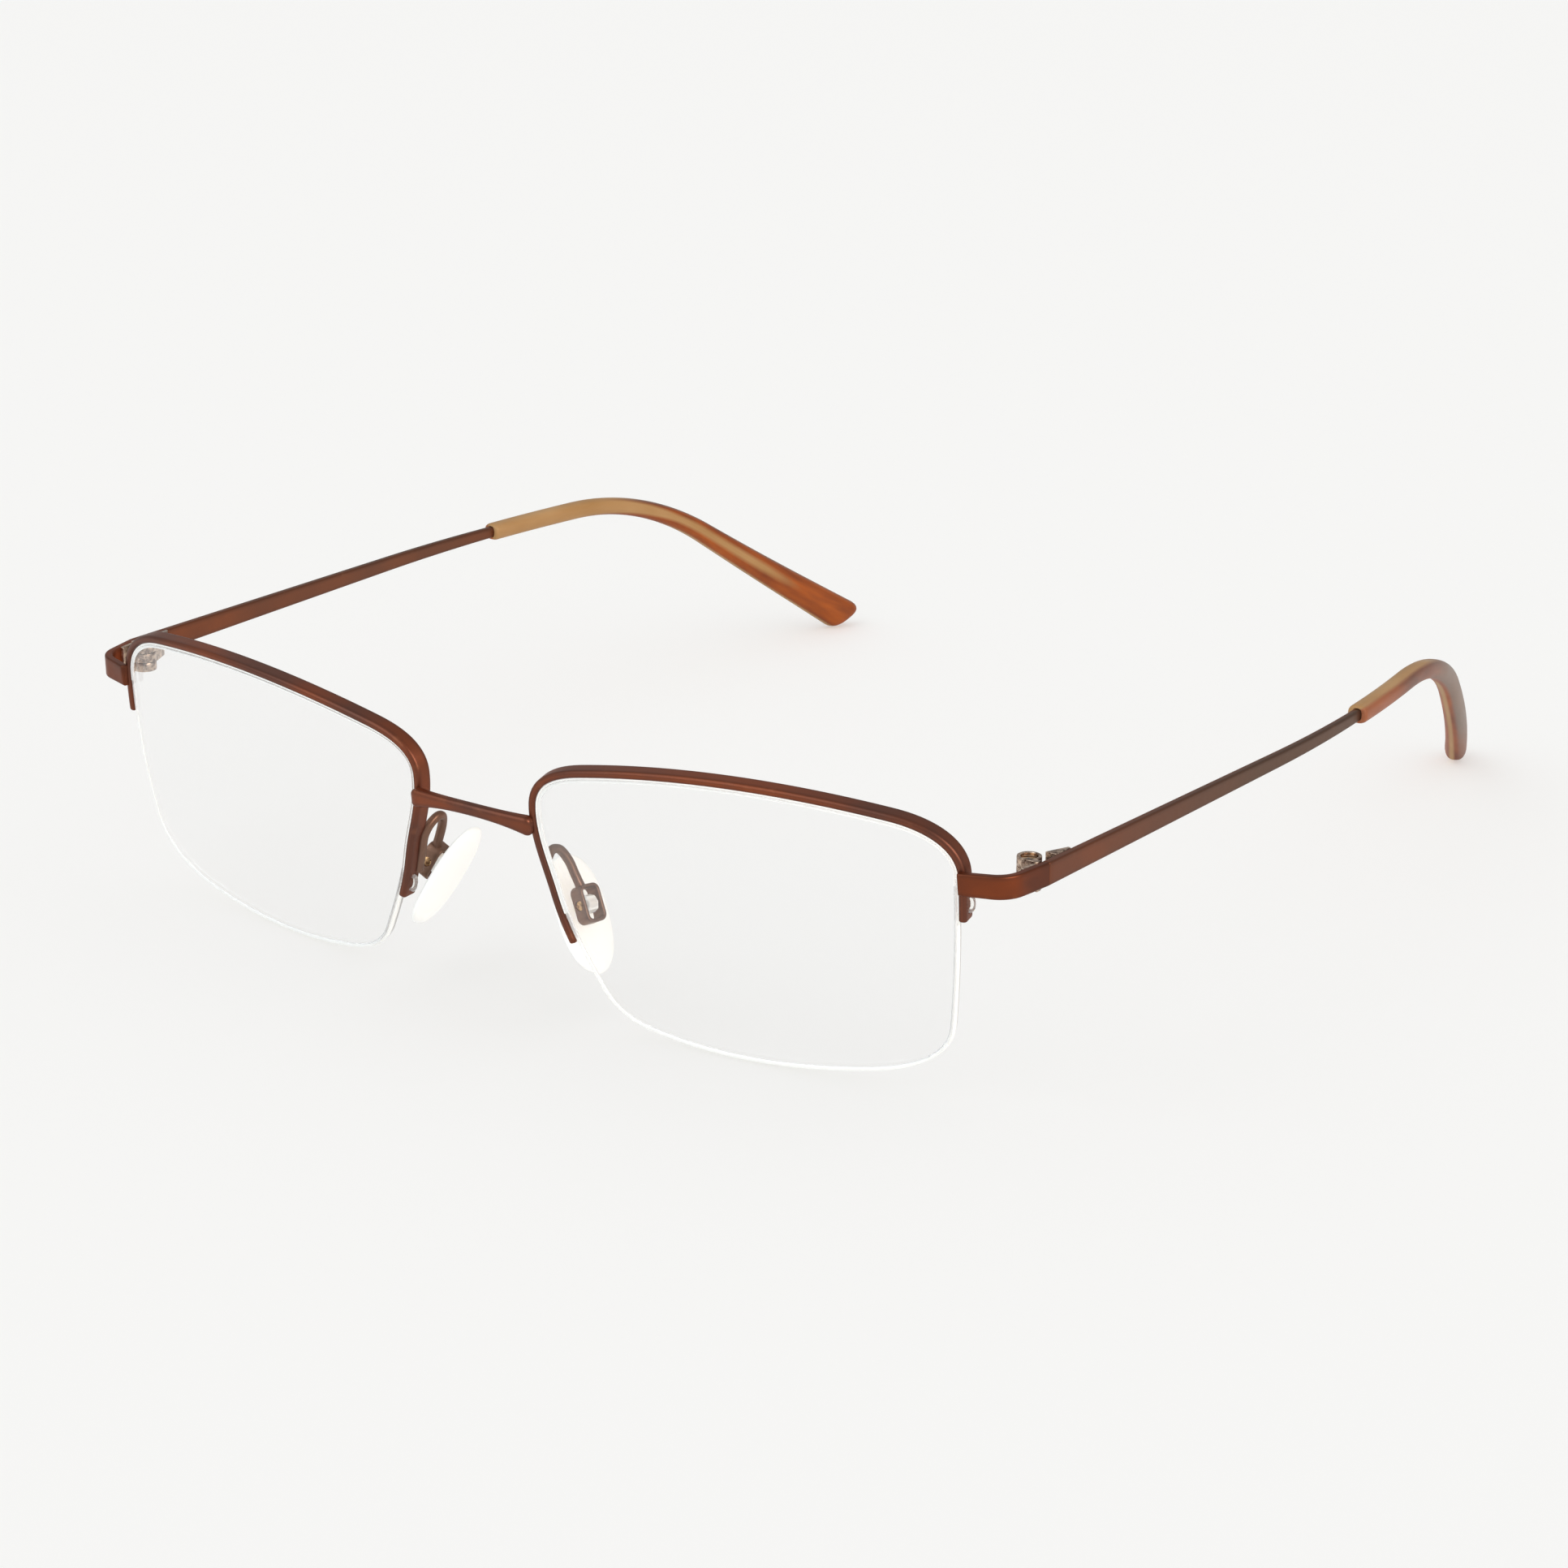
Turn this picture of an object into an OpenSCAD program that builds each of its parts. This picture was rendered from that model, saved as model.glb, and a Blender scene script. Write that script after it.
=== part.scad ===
// Half rim eyeglasses: metal upper rims, nylon-held lenses, adjustable nose pads and hinged temples.
// Millimetres. +X is the wearer's left, the front faces -Y, the temples run back along +Y, +Z is up.
// The origin is under the middle of the part, on the surface that the lenses and temple tips stand on.

/* [Front] */
// Distance between the two lenses across the nose
bridge_gap = 18; // [16:0.5:20]
// Width of one lens
lens_width = 53; // [52:0.5:54]
// Face-form angle of each lens
wrap_angle = 8.5; // [7:0.5:10]
// Radius of the lens front surface
base_radius = 132; // [115:1:150]
// Lean of the whole front, top forward
front_tilt = 8.1; // [7:0.1:9]
// Thickness of the clear lenses
lens_thickness = 1.5; // [1.4:0.05:1.6]

/* [Rim] */
// Height of the rim wire, measured outwards from the lens
rim_height = 0.9; // [0.85:0.05:1]
// Depth of the rim wire from front to back
rim_depth = 2; // [1.9:0.05:2.1]

/* [Nylon] */
// Diameter of the nylon cord under each lens
cord_diameter = 0.6; // [0.5:0.05:0.6]

/* [Temples] */
// Length of the temple behind the hinge seam
temple_length = 142.5; // [138:0.5:146]
// Straight length up to the ear bend
temple_straight = 88; // [84:1:92]
// Radius of the ear bend
bend_radius = 42; // [36:1:48]
// Angle of the ear bend
bend_angle = 35; // [30:1:36]
// Where the acetate tip begins
tip_start = 71.5; // [66:0.5:76]
// Height of the temple strap at the hinge
strap_height = 2.75; // [2.6:0.05:2.9]
// Thickness of the temple strap
strap_thickness = 1.0; // [0.9:0.1:1.1]

/* [Hinges] */
// Outer diameter of the hinge barrel
barrel_diameter = 2.8; // [2.7:0.05:2.9]
// Height of the hinge barrel
barrel_height = 3.5; // [3.4:0.05:3.6]

/* [Nose pads] */
// Length of a nose pad
pad_length = 14.4; // [13:0.2:15]
// Width of a nose pad
pad_width = 8.6; // [7.8:0.2:9]

/* [Hidden] */
$fn = 48;

// Colours
rim_brown = [0.44, 0.27, 0.21];
strap_brown = [0.46, 0.30, 0.23];
hinge_metal = [0.50, 0.43, 0.38];
screw_metal = [0.62, 0.50, 0.36];
acetate = [0.68, 0.48, 0.30];
nylon = [0.97, 0.97, 0.93];
clear = [0.86, 0.87, 0.88, 0.4];
silicone = [0.97, 0.98, 0.95, 0.8];

// Place of the front: the middle between the lenses, at the height of the lens centres
front_y = -73.1;
front_z = 16.8;
eye_x = (lens_width + bridge_gap) / 2;
nose_x = bridge_gap / 2;
side_x = eye_x + lens_width / 2;

// Lens outline: [across towards the temple, up, direction of travel in degrees] at each join of two arcs
outline_joins = [
    [26.4, 9.6, 90], [18.8, 15.8, 170], [-19.8, 15.2, 192], [-26.4, 10.3, 266], [-24.2, -0.2, 283],
    [-19.4, -11.9, 298], [-13.7, -16.0, 348], [14.5, -16.2, 8], [25.0, -9.1, 81]
];
joins = len(outline_joins);
outline_width = 53;
outline_step = 1 / 8;
// The rim runs over the top from rim_from, on the temple side, to rim_to, on the nose side
rim_from = 8.73;
rim_to = 13.49;
liner_from = 8.95;
liner_to = 13.2;

// Depths behind the lens front surface
groove_mid = lens_thickness / 2;
rim_front = groove_mid - rim_depth / 2;
rim_back = groove_mid + rim_depth / 2;
// Lens edge, groove and channel, measured outwards from the rim's inner face
lens_inset = 0.3;
groove_depth = 0.45;
groove_width = 0.72;
channel_depth = 0.42;
channel_width = 0.76;
cord_offset = -0.42;
cord_hole_radius = 0.36;
// Cord holes at each rim end: [outline position of the hole near the end, of the hole further in]
temple_side_holes = [8.79, 8.885];
nose_side_holes = [13.40, 13.25];

// Hinge pin, and the seam between endpiece and temple
pin_x = side_x + 3.25;
pin_y = front_y + 13.4;
pin_z = front_z + 10.1;
seam = [side_x + 5.7, front_y + 12.9, front_z + 10.4];
seam_gap = 0.06;
temple_droop = 0.87;
temple_splay = 0.92;
bow_start = 50;
bow_radius = 225;
knuckle_gap = 0.05;
screw_radius = 0.6;
temple_core_end = 133;
core_diameter = 1.4;
fit_gap = 0.06;

// Nose pad frame: x outwards from the nose, y backwards, z up along the pad
pad_centre = [nose_x + 1.3, 4.2, -5.4];
pad_lean = -28.7;
pad_rake = -16.1;
box_centre = [2.3, -0.5, 0.8];
box_size = [1.9, 3.0, 4.5];
box_wall = 0.4;
box_recess = 0.2;
arm_width = 1.05;
arm_depth = 1;
pad_pin_radius = 0.4;

// ---- Points, directions and curves ----

function unit(v) = v / norm(v);

function turn(from, to) = (to - from + 540) % 360 - 180;

function handle(a, b) =
    let (angle = abs(turn(a[2], b[2])), chord = norm([b[0] - a[0], b[1] - a[1]]))
    angle < 0.1 ? chord / 3 : chord * 2 / 3 * tan(angle / 4) / sin(angle / 2);

// The four control points of outline arc i
function arc_controls(i) =
    let (
        a = outline_joins[i % joins],
        b = outline_joins[(i + 1) % joins],
        reach = handle(a, b),
        wider = lens_width / outline_width,
        start = [a[0] * wider, a[1]],
        end = [b[0] * wider, b[1]]
    )
    [start, start + reach * [cos(a[2]), sin(a[2])], end - reach * [cos(b[2]), sin(b[2])], end];

function outline(t) =
    let (c = arc_controls(floor(t)), s = t - floor(t), r = 1 - s)
    r * r * r * c[0] + 3 * r * r * s * c[1] + 3 * r * s * s * c[2] + s * s * s * c[3];

function outline_travel(t) =
    let (c = arc_controls(floor(t)), s = t - floor(t), r = 1 - s)
    unit(r * r * (c[1] - c[0]) + 2 * r * s * (c[2] - c[1]) + s * s * (c[3] - c[2]));

// A point of the outline moved outwards by out
function edge(t, out) = let (d = outline_travel(t)) outline(t) + out * [d[1], -d[0]];

// A point of the lens plane lifted onto the lens front surface, then moved back by depth
function on_lens(p, depth) = [p[0], base_radius - sqrt(base_radius * base_radius - p * p) + depth, p[1]];

function stations(from, to) =
    [
        from,
        for (i = [ceil(from / outline_step + 0.3) : 1 : floor(to / outline_step - 0.3)]) i * outline_step,
        to
    ];

// A point of the front, carried to its place in the part's frame
function stand(p) = [
    p[0],
    front_y + p[1] * cos(front_tilt) - p[2] * sin(front_tilt),
    front_z + p[1] * sin(front_tilt) + p[2] * cos(front_tilt)
];

// A smooth curve through a list of points, steps pieces to each gap
function smooth(p, steps) = [
    for (i = [0 : 1 : len(p) - 2]) for (k = [0 : 1 : steps - 1])
        let (
            s = k / steps,
            before = p[max(i - 1, 0)],
            after = p[min(i + 2, len(p) - 1)],
            a = p[i],
            b = p[i + 1]
        )
        0.5 * (2 * a + (b - before) * s + (2 * before - 5 * a + 4 * b - after) * s * s
            + (3 * a - before - 3 * b + after) * s * s * s),
    p[len(p) - 1]
];

function path_travel(path, i) = unit(path[min(i + 1, len(path) - 1)] - path[max(i - 1, 0)]);

// A rounded bar's cross-section, [across, up], with four points to a corner
function bar_section(across, up, radius) = [
    for (q = [0 : 1 : 3]) for (k = [0 : 1 : 2])
        let (a = 90 * q + 45 * k, sx = (q == 0 || q == 3) ? 1 : -1, sy = q < 2 ? 1 : -1)
        [sx * (across / 2 - radius) + radius * cos(a), sy * (up / 2 - radius) + radius * sin(a)]
];

// A solid through a list of rings of points, each ring turning clockwise as seen from the next one
module skin(rings) {
    n = len(rings[0]);
    last = (len(rings) - 1) * n;
    sides = [
        for (j = [0 : 1 : len(rings) - 2]) for (i = [0 : 1 : n - 1])
            let (a = j * n + i, b = j * n + (i + 1) % n)
            each [[a, b, a + n], [b, b + n, a + n]]
    ];
    start_cap = [for (i = [n - 1 : -1 : 0]) i];
    end_cap = [for (i = [0 : 1 : n - 1]) last + i];
    polyhedron(points = [for (r = rings) each r], faces = concat([start_cap], sides, [end_cap]));
}

function reversed(ring) = [for (i = [len(ring) - 1 : -1 : 0]) ring[i]];

// ---- Frames of reference ----

module on_front() {
    translate([0, front_y, front_z])
        rotate([front_tilt, 0, 0])
            children();
}

module on_eye() {
    on_front()
        translate([eye_x, 0, 0])
            rotate([0, 0, wrap_angle])
                children();
}

module on_pad() {
    on_front()
        translate(pad_centre)
            rotate([0, pad_lean, 0])
                rotate([pad_rake, 0, 0])
                    children();
}

module on_right() {
    mirror([1, 0, 0])
        children();
}

// ---- Rim, liner, cord and lens, in the frame of one eye ----

rim_inner = channel_width / 2;
rim_bevel = 0.28;
rim_section = [
    [0, rim_front], [rim_height - rim_bevel, rim_front], [rim_height - 0.09, rim_front + 0.09],
    [rim_height, rim_front + rim_bevel], [rim_height, rim_back - rim_bevel],
    [rim_height - 0.09, rim_back - 0.09], [rim_height - rim_bevel, rim_back], [0, rim_back]
];
channel_section = [
    [-0.1, groove_mid - rim_inner], [channel_depth, groove_mid - rim_inner],
    [channel_depth, groove_mid + rim_inner], [-0.1, groove_mid + rim_inner]
];

// One ring of a shape that follows the lens outline, its section scaled about its middle
function outline_ring(t, section, middle, scale) = [
    for (p = reversed(section)) let (q = middle + scale * (p - middle)) on_lens(edge(t, q[0]), q[1])
];

module follow_outline(from, to, section, rounded) {
    middle = [rim_height / 2, groove_mid];
    ts = stations(from, to);
    tip = rounded ? 0.025 : 0;
    inner = [for (t = ts) if (t > from + tip && t < to - tip) t];
    skin(concat(
        rounded ? [outline_ring(from, section, middle, 0.7)] : [],
        [outline_ring(from + tip, section, middle, 1)],
        [for (t = inner) if (t > from + 2 * tip && t < to - 2 * tip) outline_ring(t, section, middle, 1)],
        [outline_ring(to - tip, section, middle, 1)],
        rounded ? [outline_ring(to, section, middle, 0.7)] : []
    ));
}

module cord_hole(t) {
    d = outline_travel(t);
    translate(on_lens(edge(t, 0.2), groove_mid))
        rotate([0, 90 - atan2(-d[0], d[1]), 0])
            cylinder(r = cord_hole_radius, h = 2.4, center = false);
}

module rim() {
    color(rim_brown)
        difference() {
            follow_outline(rim_from, rim_to, rim_section, true);
            follow_outline(rim_from - 0.02, rim_to + 0.02, channel_section, false);
            for (t = concat(temple_side_holes, nose_side_holes)) cord_hole(t);
        }
}

// A cross: a web from the rim channel to the lens groove, and a flange between rim and lens
web = groove_width / 2 - 0.06;
web_end = -lens_inset - groove_depth + 0.06;
flange = lens_thickness / 2 - 0.1;
web_section = [
    [channel_depth - 0.05, groove_mid - web], [channel_depth - 0.05, groove_mid + web],
    [web_end, groove_mid + web], [web_end, groove_mid - web]
];
flange_section = [
    [-0.03, groove_mid - flange], [-0.03, groove_mid + flange],
    [0.03 - lens_inset, groove_mid + flange], [0.03 - lens_inset, groove_mid - flange]
];

module liner() {
    color(nylon)
        union() {
            follow_outline(liner_from, liner_to, web_section, false);
            follow_outline(liner_from, liner_to, flange_section, false);
        }
}

// The cord's route: [outline position, distance outwards], through both holes at each end of the rim
cord_loop = rim_height + cord_diameter / 2 + 0.08;
function cord_end(holes, way) = [
    [holes[1], 0.2], [holes[1], cord_loop - 0.5], [holes[1] - 0.012 * way, cord_loop - 0.12],
    [(holes[0] + holes[1]) / 2, cord_loop], [holes[0] + 0.012 * way, cord_loop - 0.12],
    [holes[0], cord_loop - 0.5], [holes[0], 0.35], [holes[0] - 0.03 * way, -0.05],
    [holes[0] - 0.07 * way, cord_offset]
];

function cord_route() =
    let (nose = cord_end([for (h = nose_side_holes) h - joins], -1), side = cord_end(temple_side_holes, 1))
    concat(
        nose,
        [for (i = [37 : 1 : 69]) [i * outline_step, cord_offset]],
        [for (i = [len(side) - 1 : -1 : 0]) side[i]]
    );

module nylon_cord() {
    path = [for (p = cord_route()) on_lens(edge(p[0], p[1]), groove_mid)];
    back = [0, 1, 0];
    rings = [
        for (i = [0 : 1 : len(path) - 1])
            let (along = path_travel(path, i), side = unit(cross(back, along)), up = cross(along, side))
            [for (k = [7 : -1 : 0]) path[i] + cord_diameter / 2 * (cos(45 * k) * side + sin(45 * k) * up)]
    ];
    color(nylon)
        skin(rings);
}

module lens_prism(inset) {
    rotate([90, 0, 0])
        linear_extrude(16, center = true)
            polygon([for (i = [0 : 1 : joins / outline_step - 1]) edge(i * outline_step, -inset)]);
}

module lens_shell(front, back) {
    translate([0, base_radius, 0])
        difference() {
            sphere(r = base_radius - front, $fn = 180);
            sphere(r = base_radius - back, $fn = 180);
        }
}

module lens() {
    color(clear)
        difference() {
            intersection() {
                lens_prism(lens_inset);
                lens_shell(0, lens_thickness);
            }
            difference() {
                lens_shell(groove_mid - groove_width / 2, groove_mid + groove_width / 2);
                lens_prism(lens_inset + groove_depth);
            }
        }
}

// ---- Bridge and endpieces ----

bridge_half = nose_x - 0.2;
bridge_end_y = -1.45;
bridge_end_z = 7.9;
bridge_forward = 0.65;
bridge_rise = 0.7;

module bridge() {
    xs = [-1, -0.97, -0.9, -0.8, -0.65, -0.5, -0.3, -0.1, 0.1, 0.3, 0.5, 0.65, 0.8, 0.9, 0.97, 1];
    rings = [
        for (s = xs)
            let (
                arch = 1 - s * s,
                at = [
                    bridge_half * s,
                    bridge_end_y - bridge_forward * arch,
                    bridge_end_z + bridge_rise * arch
                ],
                trim = abs(s) == 1 ? 0.55 : 1,
                tall = trim * (1.5 + 1.0 * pow(abs(s), 2.4)),
                deep = trim * (1.15 + 0.3 * pow(abs(s), 4))
            )
            [for (p = reversed(bar_section(deep, tall, trim * 0.32))) at + [0, p[0], p[1]]]
    ];
    color(rim_brown)
        on_front()
            skin(rings);
}

// Strap from the front of the rim, outwards and round the corner to the hinge seam
strap_start = [side_x - 0.55, 6.45, 9.4];
strap_heading = 19;
corner_radius = 3.2;
corner_turn = 63;
strap_front_run = 3.7;
corner_run = corner_radius * corner_turn * PI / 180;
strap_fall = 0.115;

function strap_plan(run) =
    let (
        a0 = strap_heading,
        flat = min(run, strap_front_run),
        bend = min(max(run - strap_front_run, 0), corner_run),
        side = max(run - strap_front_run - corner_run, 0),
        a1 = a0 + bend / corner_radius * 180 / PI
    )
    [
        strap_start[0] + flat * cos(a0) + corner_radius * (sin(a1) - sin(a0)) + side * cos(a1),
        strap_start[1] + flat * sin(a0) + corner_radius * (cos(a0) - cos(a1)) + side * sin(a1),
        a1
    ];

strap_runs = concat([0, 0.15, 1.5, 3], [for (k = [0 : 1 : 6]) strap_front_run + corner_run * k / 6]);
strap_end = strap_front_run + corner_run;

function strap_section(trim) = bar_section(strap_thickness * trim, strap_height, 0.28 * trim);

module endpiece() {
    up_front = stand([0, 0, 1]) - stand([0, 0, 0]);
    seam_y = seam[1] - seam_gap / 2;
    rings = concat(
        [
            for (run = strap_runs)
                let (
                    plan = strap_plan(run),
                    fall = (plan[1] - strap_start[1]) * strap_fall,
                    at = stand([plan[0], plan[1], strap_start[2] - fall]),
                    part = run / strap_end,
                    up = unit((1 - part) * up_front + part * [0, 0, 1]),
                    out = [sin(plan[2]), -cos(plan[2]), 0],
                    trim = run == 0 ? 0.85 : 1
                )
                [for (p = strap_section(trim)) at + p[0] * out + p[1] * up]
        ],
        [[for (p = strap_section(1)) [seam[0] + p[0], seam_y, seam[2] + p[1]]]]
    );
    color(strap_brown)
        skin(rings);
}

// ---- Hinges ----

knuckle = (barrel_height - 2 * knuckle_gap) / 3;
barrel = barrel_diameter / 2;
strap_face = seam[0] - strap_thickness / 2 - pin_x;
front_leaf_end = seam[1] - pin_y - 0.1;
leaf_height = barrel_height - 0.3;

module on_pin() {
    translate([pin_x, pin_y, pin_z])
        children();
}

module hinge_front() {
    color(hinge_metal)
        on_pin()
            difference() {
                union() {
                    for (level = [-1, 1])
                        translate([0, 0, level * (knuckle + knuckle_gap)]) {
                            cylinder(r = barrel, h = knuckle, center = true);
                            translate([0, -barrel, -knuckle / 2])
                                cube([strap_face, barrel + front_leaf_end, knuckle]);
                        }
                    // Leaf on the inner face of the strap, clear of the middle knuckle
                    linear_extrude(leaf_height, center = true)
                        polygon([
                            [barrel - 0.3, -3.6], [strap_face - 0.35, -3.6],
                            [strap_face + 0.08, front_leaf_end], [barrel + 0.15, front_leaf_end]
                        ]);
                }
                cylinder(r = screw_radius + 0.02, h = barrel_height + 1, center = true);
                translate([0, 0, barrel_height / 2 - 0.6])
                    cylinder(r = 1, h = 1);
            }
}

module hinge_rear() {
    color(hinge_metal)
        on_pin()
            difference() {
                union() {
                    cylinder(r = barrel, h = knuckle, center = true);
                    translate([0.3, 0, -knuckle / 2])
                        cube([1.2, 2.6, knuckle]);
                    // Wedge on the inner face of the temple
                    linear_extrude(leaf_height, center = true)
                        polygon([
                            [0.55, 2.4], [strap_face + 0.1, 2.4],
                            [strap_face + 0.16, 5.2], [strap_face - 0.2, 5.2]
                        ]);
                }
                cylinder(r = screw_radius + 0.05, h = barrel_height, center = true);
            }
}

module hinge_screw() {
    color(screw_metal)
        on_pin()
            difference() {
                union() {
                    translate([0, 0, -barrel_height / 2])
                        cylinder(r = screw_radius, h = barrel_height - 0.5);
                    translate([0, 0, barrel_height / 2 - 0.6])
                        cylinder(r = 0.95, h = 0.4);
                }
                translate([-1.2, -0.15, barrel_height / 2 - 0.38])
                    cube([2.4, 0.3, 1]);
            }
}

// ---- Temples ----

// Sideways place of the temple, outwards from the seam, at a length along it
function temple_side(run) = sin(temple_splay) * run - pow(max(run - bow_start, 0), 2) / (2 * bow_radius);

function bend_at(run) = min(max(run - temple_straight, 0) / bend_radius * 180 / PI, bend_angle);

function temple_point(run) =
    let (
        a = bend_at(run),
        rest = max(run - temple_straight - bend_radius * bend_angle * PI / 180, 0),
        along = min(run, temple_straight) + bend_radius * sin(a) + rest * cos(bend_angle),
        drop = bend_radius * (1 - cos(a)) + rest * sin(bend_angle)
    )
    [
        seam[0] + temple_side(run),
        seam[1] + seam_gap / 2 + along * cos(temple_droop) - drop * sin(temple_droop),
        seam[2] - along * sin(temple_droop) - drop * cos(temple_droop)
    ];

function temple_ring(run, section) =
    let (
        along = run < 1 ? [0, 1, 0] : unit(temple_point(run + 0.5) - temple_point(run - 0.5)),
        out = unit(cross(along, [0, 0, 1])),
        up = cross(out, along),
        at = temple_point(run)
    )
    [for (p = section) at + p[0] * out + p[1] * up];

// Height and thickness of the metal: a strap that narrows to a round core inside the tip
function metal_height(run) = run < tip_start
    ? strap_height + (1.5 - strap_height) * run / tip_start
    : max(1.5 - (run - tip_start) * 0.1, core_diameter);
function metal_width(run) = run < tip_start
    ? strap_thickness
    : min(strap_thickness + (run - tip_start) * 0.2, core_diameter);
function metal_round(run) = run < tip_start ? 0.3 : min(0.3 + (run - tip_start) * 0.2, core_diameter / 2);

function metal_section(run, gap) =
    bar_section(metal_width(run) + 2 * gap, metal_height(run) + 2 * gap, metal_round(run) + gap);

temple_runs = concat(
    [0, 1, 5, 10, 16, 24, 32, 40, 48, 56, 64, 70, tip_start, 74, 80],
    [for (a = [0 : 1 : 8]) temple_straight + a * bend_radius * bend_angle * PI / 180 / 8],
    [118, 123, 128]
);

module temple() {
    color(strap_brown)
        skin([
            for (run = concat(temple_runs, [temple_core_end]))
                temple_ring(run, metal_section(run, 0))
        ]);
}

// The acetate tip: slim at its mouth, growing to a blunt end that leans with its upper corner furthest back
swell_start = 92;
end_runs = [for (back = [7, 4, 2, 1, 0.4, 0]) temple_length - back];

function swell(run) = pow(max(run - swell_start, 0) / (temple_length - swell_start), 1.5);

// Scale of the section and lean of the ring near the end
function tip_close(run) =
    let (left = (temple_length - run) / 1.6)
    left > 1 ? 1 : 0.5 + 0.5 * sqrt(max(1 - (1 - left) * (1 - left), 0));
function tip_lean(run) = 0.5 * max(1 - (temple_length - run) / 8, 0);

function tip_ring(run) =
    let (
        trim = run < tip_start + 0.4 ? 0.3 : 0,
        high = (2.3 + 2.8 * swell(run)) * tip_close(run) - trim,
        wide = (2.6 + 0.4 * swell(run)) * tip_close(run) - trim,
        section = bar_section(wide, high, 0.42 * min(high, wide)),
        along = unit(temple_point(run) - temple_point(run - 1)),
        ring = temple_ring(run, section)
    )
    [for (k = [0 : 1 : len(section) - 1]) ring[k] + tip_lean(run) * section[k][1] * along];

module temple_tip() {
    runs = concat(
        [tip_start + 0.2, tip_start + 0.5, 76, 82],
        [for (a = [0 : 1 : 8]) temple_straight + a * bend_radius * bend_angle * PI / 180 / 8],
        [118, 124, 130],
        end_runs
    );
    color(acetate)
        difference() {
            skin([for (run = runs) tip_ring(run)]);
            skin([
                for (run = concat([for (r = temple_runs) if (r > 69) r], [temple_core_end + 0.1]))
                    temple_ring(run, metal_section(run, fit_gap))
            ]);
        }
}

// ---- Nose pads ----

// Wire hook behind the rim, from its foot up, over and down to the pad box, in the frame of the front
arm_points = [
    [1.95, 0.2, -3.0], [1.45, 0.2, -1.4], [0.95, 0.2, 0.2], [0.5, 0.3, 1.8], [0.1, 1.0, 3.0],
    [-0.15, 2.2, 3.6], [0.05, 3.3, 3.15], [0.7, 3.85, 1.65], [1.35, 3.9, 0.05], [1.9, 3.9, -1.2],
    [2.05, 3.93, -1.7]
];

module pad_box() {
    rounding = 0.9;
    translate(box_centre)
        difference() {
            rotate([0, 90, 0])
                linear_extrude(box_size[0], center = true)
                    difference() {
                        rounded_plate(box_size[2], box_size[1], rounding);
                        rounded_plate(box_size[2] - 2 * box_wall, box_size[1] - 2 * box_wall, rounding - 0.4);
                    }
            rotate([90, 0, 0])
                cylinder(r = pad_pin_radius + 0.02, h = 6, center = true);
            translate([0, -box_size[1] / 2 + box_recess, 0])
                rotate([90, 0, 0])
                    cylinder(r = 0.65, h = 1);
        }
}

module rounded_plate(long, wide, radius) {
    square([long - 2 * radius, wide], center = true);
    square([long, wide - 2 * radius], center = true);
    for (sx = [-1, 1], sy = [-1, 1])
        translate([sx * (long / 2 - radius), sy * (wide / 2 - radius)])
            circle(r = radius, $fn = 32);
}

module pad_arm() {
    path = smooth([for (p = arm_points) p + [nose_x, 0, 0]], 3);
    rings = [
        for (i = [0 : 1 : len(path) - 1])
            let (
                along = path_travel(path, i),
                flat = unit(cross(along, [1, 0.2, 0])),
                side = cross(flat, along),
                flare = 1 + 0.3 * max(1 - (len(path) - 1 - i) / 5, 0)
            )
            [for (p = bar_section(arm_width, arm_depth * flare, 0.3)) path[i] + p[0] * flat + p[1] * side]
    ];
    color(hinge_metal) {
        on_front()
            skin(rings);
        on_pad()
            pad_box();
    }
}

module pad_screw() {
    color(screw_metal)
        on_pad()
            translate(box_centre)
                rotate([-90, 0, 0]) {
                    translate([0, 0, -box_size[1] / 2 + 0.05])
                        cylinder(r = 0.6, h = box_recess - 0.05);
                    translate([0, 0, -box_size[1] / 2 + box_recess - 0.05])
                        cylinder(r = pad_pin_radius, h = box_size[1] - box_recess + 0.05);
                }
}

core_length = 8.4;
core_width = 3.4;
core_thickness = 0.5;
lug_size = [2.6, 1.5, 2.2];

module slot_plate(long, wide, thick) {
    rotate([0, 90, 0])
        linear_extrude(thick, center = true) {
            square([long - wide, wide], center = true);
            for (s = [-1, 1])
                translate([s * (long - wide) / 2, 0])
                    circle(d = wide, $fn = 32);
        }
}

module pad_core() {
    color(clear)
        on_pad()
            difference() {
                union() {
                    slot_plate(core_length, core_width, core_thickness);
                    translate([lug_size[0] / 2, box_centre[1], box_centre[2]])
                        cube(lug_size, center = true);
                    translate(box_centre)
                        rotate([90, 0, 0])
                            cylinder(r = 1.1, h = lug_size[1], center = true);
                }
                translate(box_centre)
                    rotate([90, 0, 0])
                        cylinder(r = pad_pin_radius + 0.05, h = 4, center = true);
            }
}

module nose_pad() {
    levels = [-1, -0.97, -0.88, -0.74, -0.56, -0.36, -0.12, 0.12, 0.36, 0.56, 0.74, 0.88, 0.97, 1];
    rings = [
        for (s = levels)
            let (
                full = pow(1 - pow(min(abs(s), 0.995), 2.3), 1 / 2.3),
                half_width = pad_width / 2 * full,
                half_thick = 1.05 * pow(full, 0.7)
            )
            [for (k = [0 : 1 : 19])
                let (across = -half_thick * cos(18 * k) * (cos(18 * k) > 0 ? 1 : 0.8))
                [across, half_width * sin(18 * k), pad_length / 2 * s]]
    ];
    color(silicone)
        on_pad()
            difference() {
                skin(rings);
                slot_plate(core_length + 0.1, core_width + 0.1, core_thickness + 0.1);
                translate([lug_size[0] / 2, box_centre[1], box_centre[2]])
                    cube(lug_size + [0.1, 0.1, 0.1], center = true);
            }
}

// ---- Assembly ----

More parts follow.
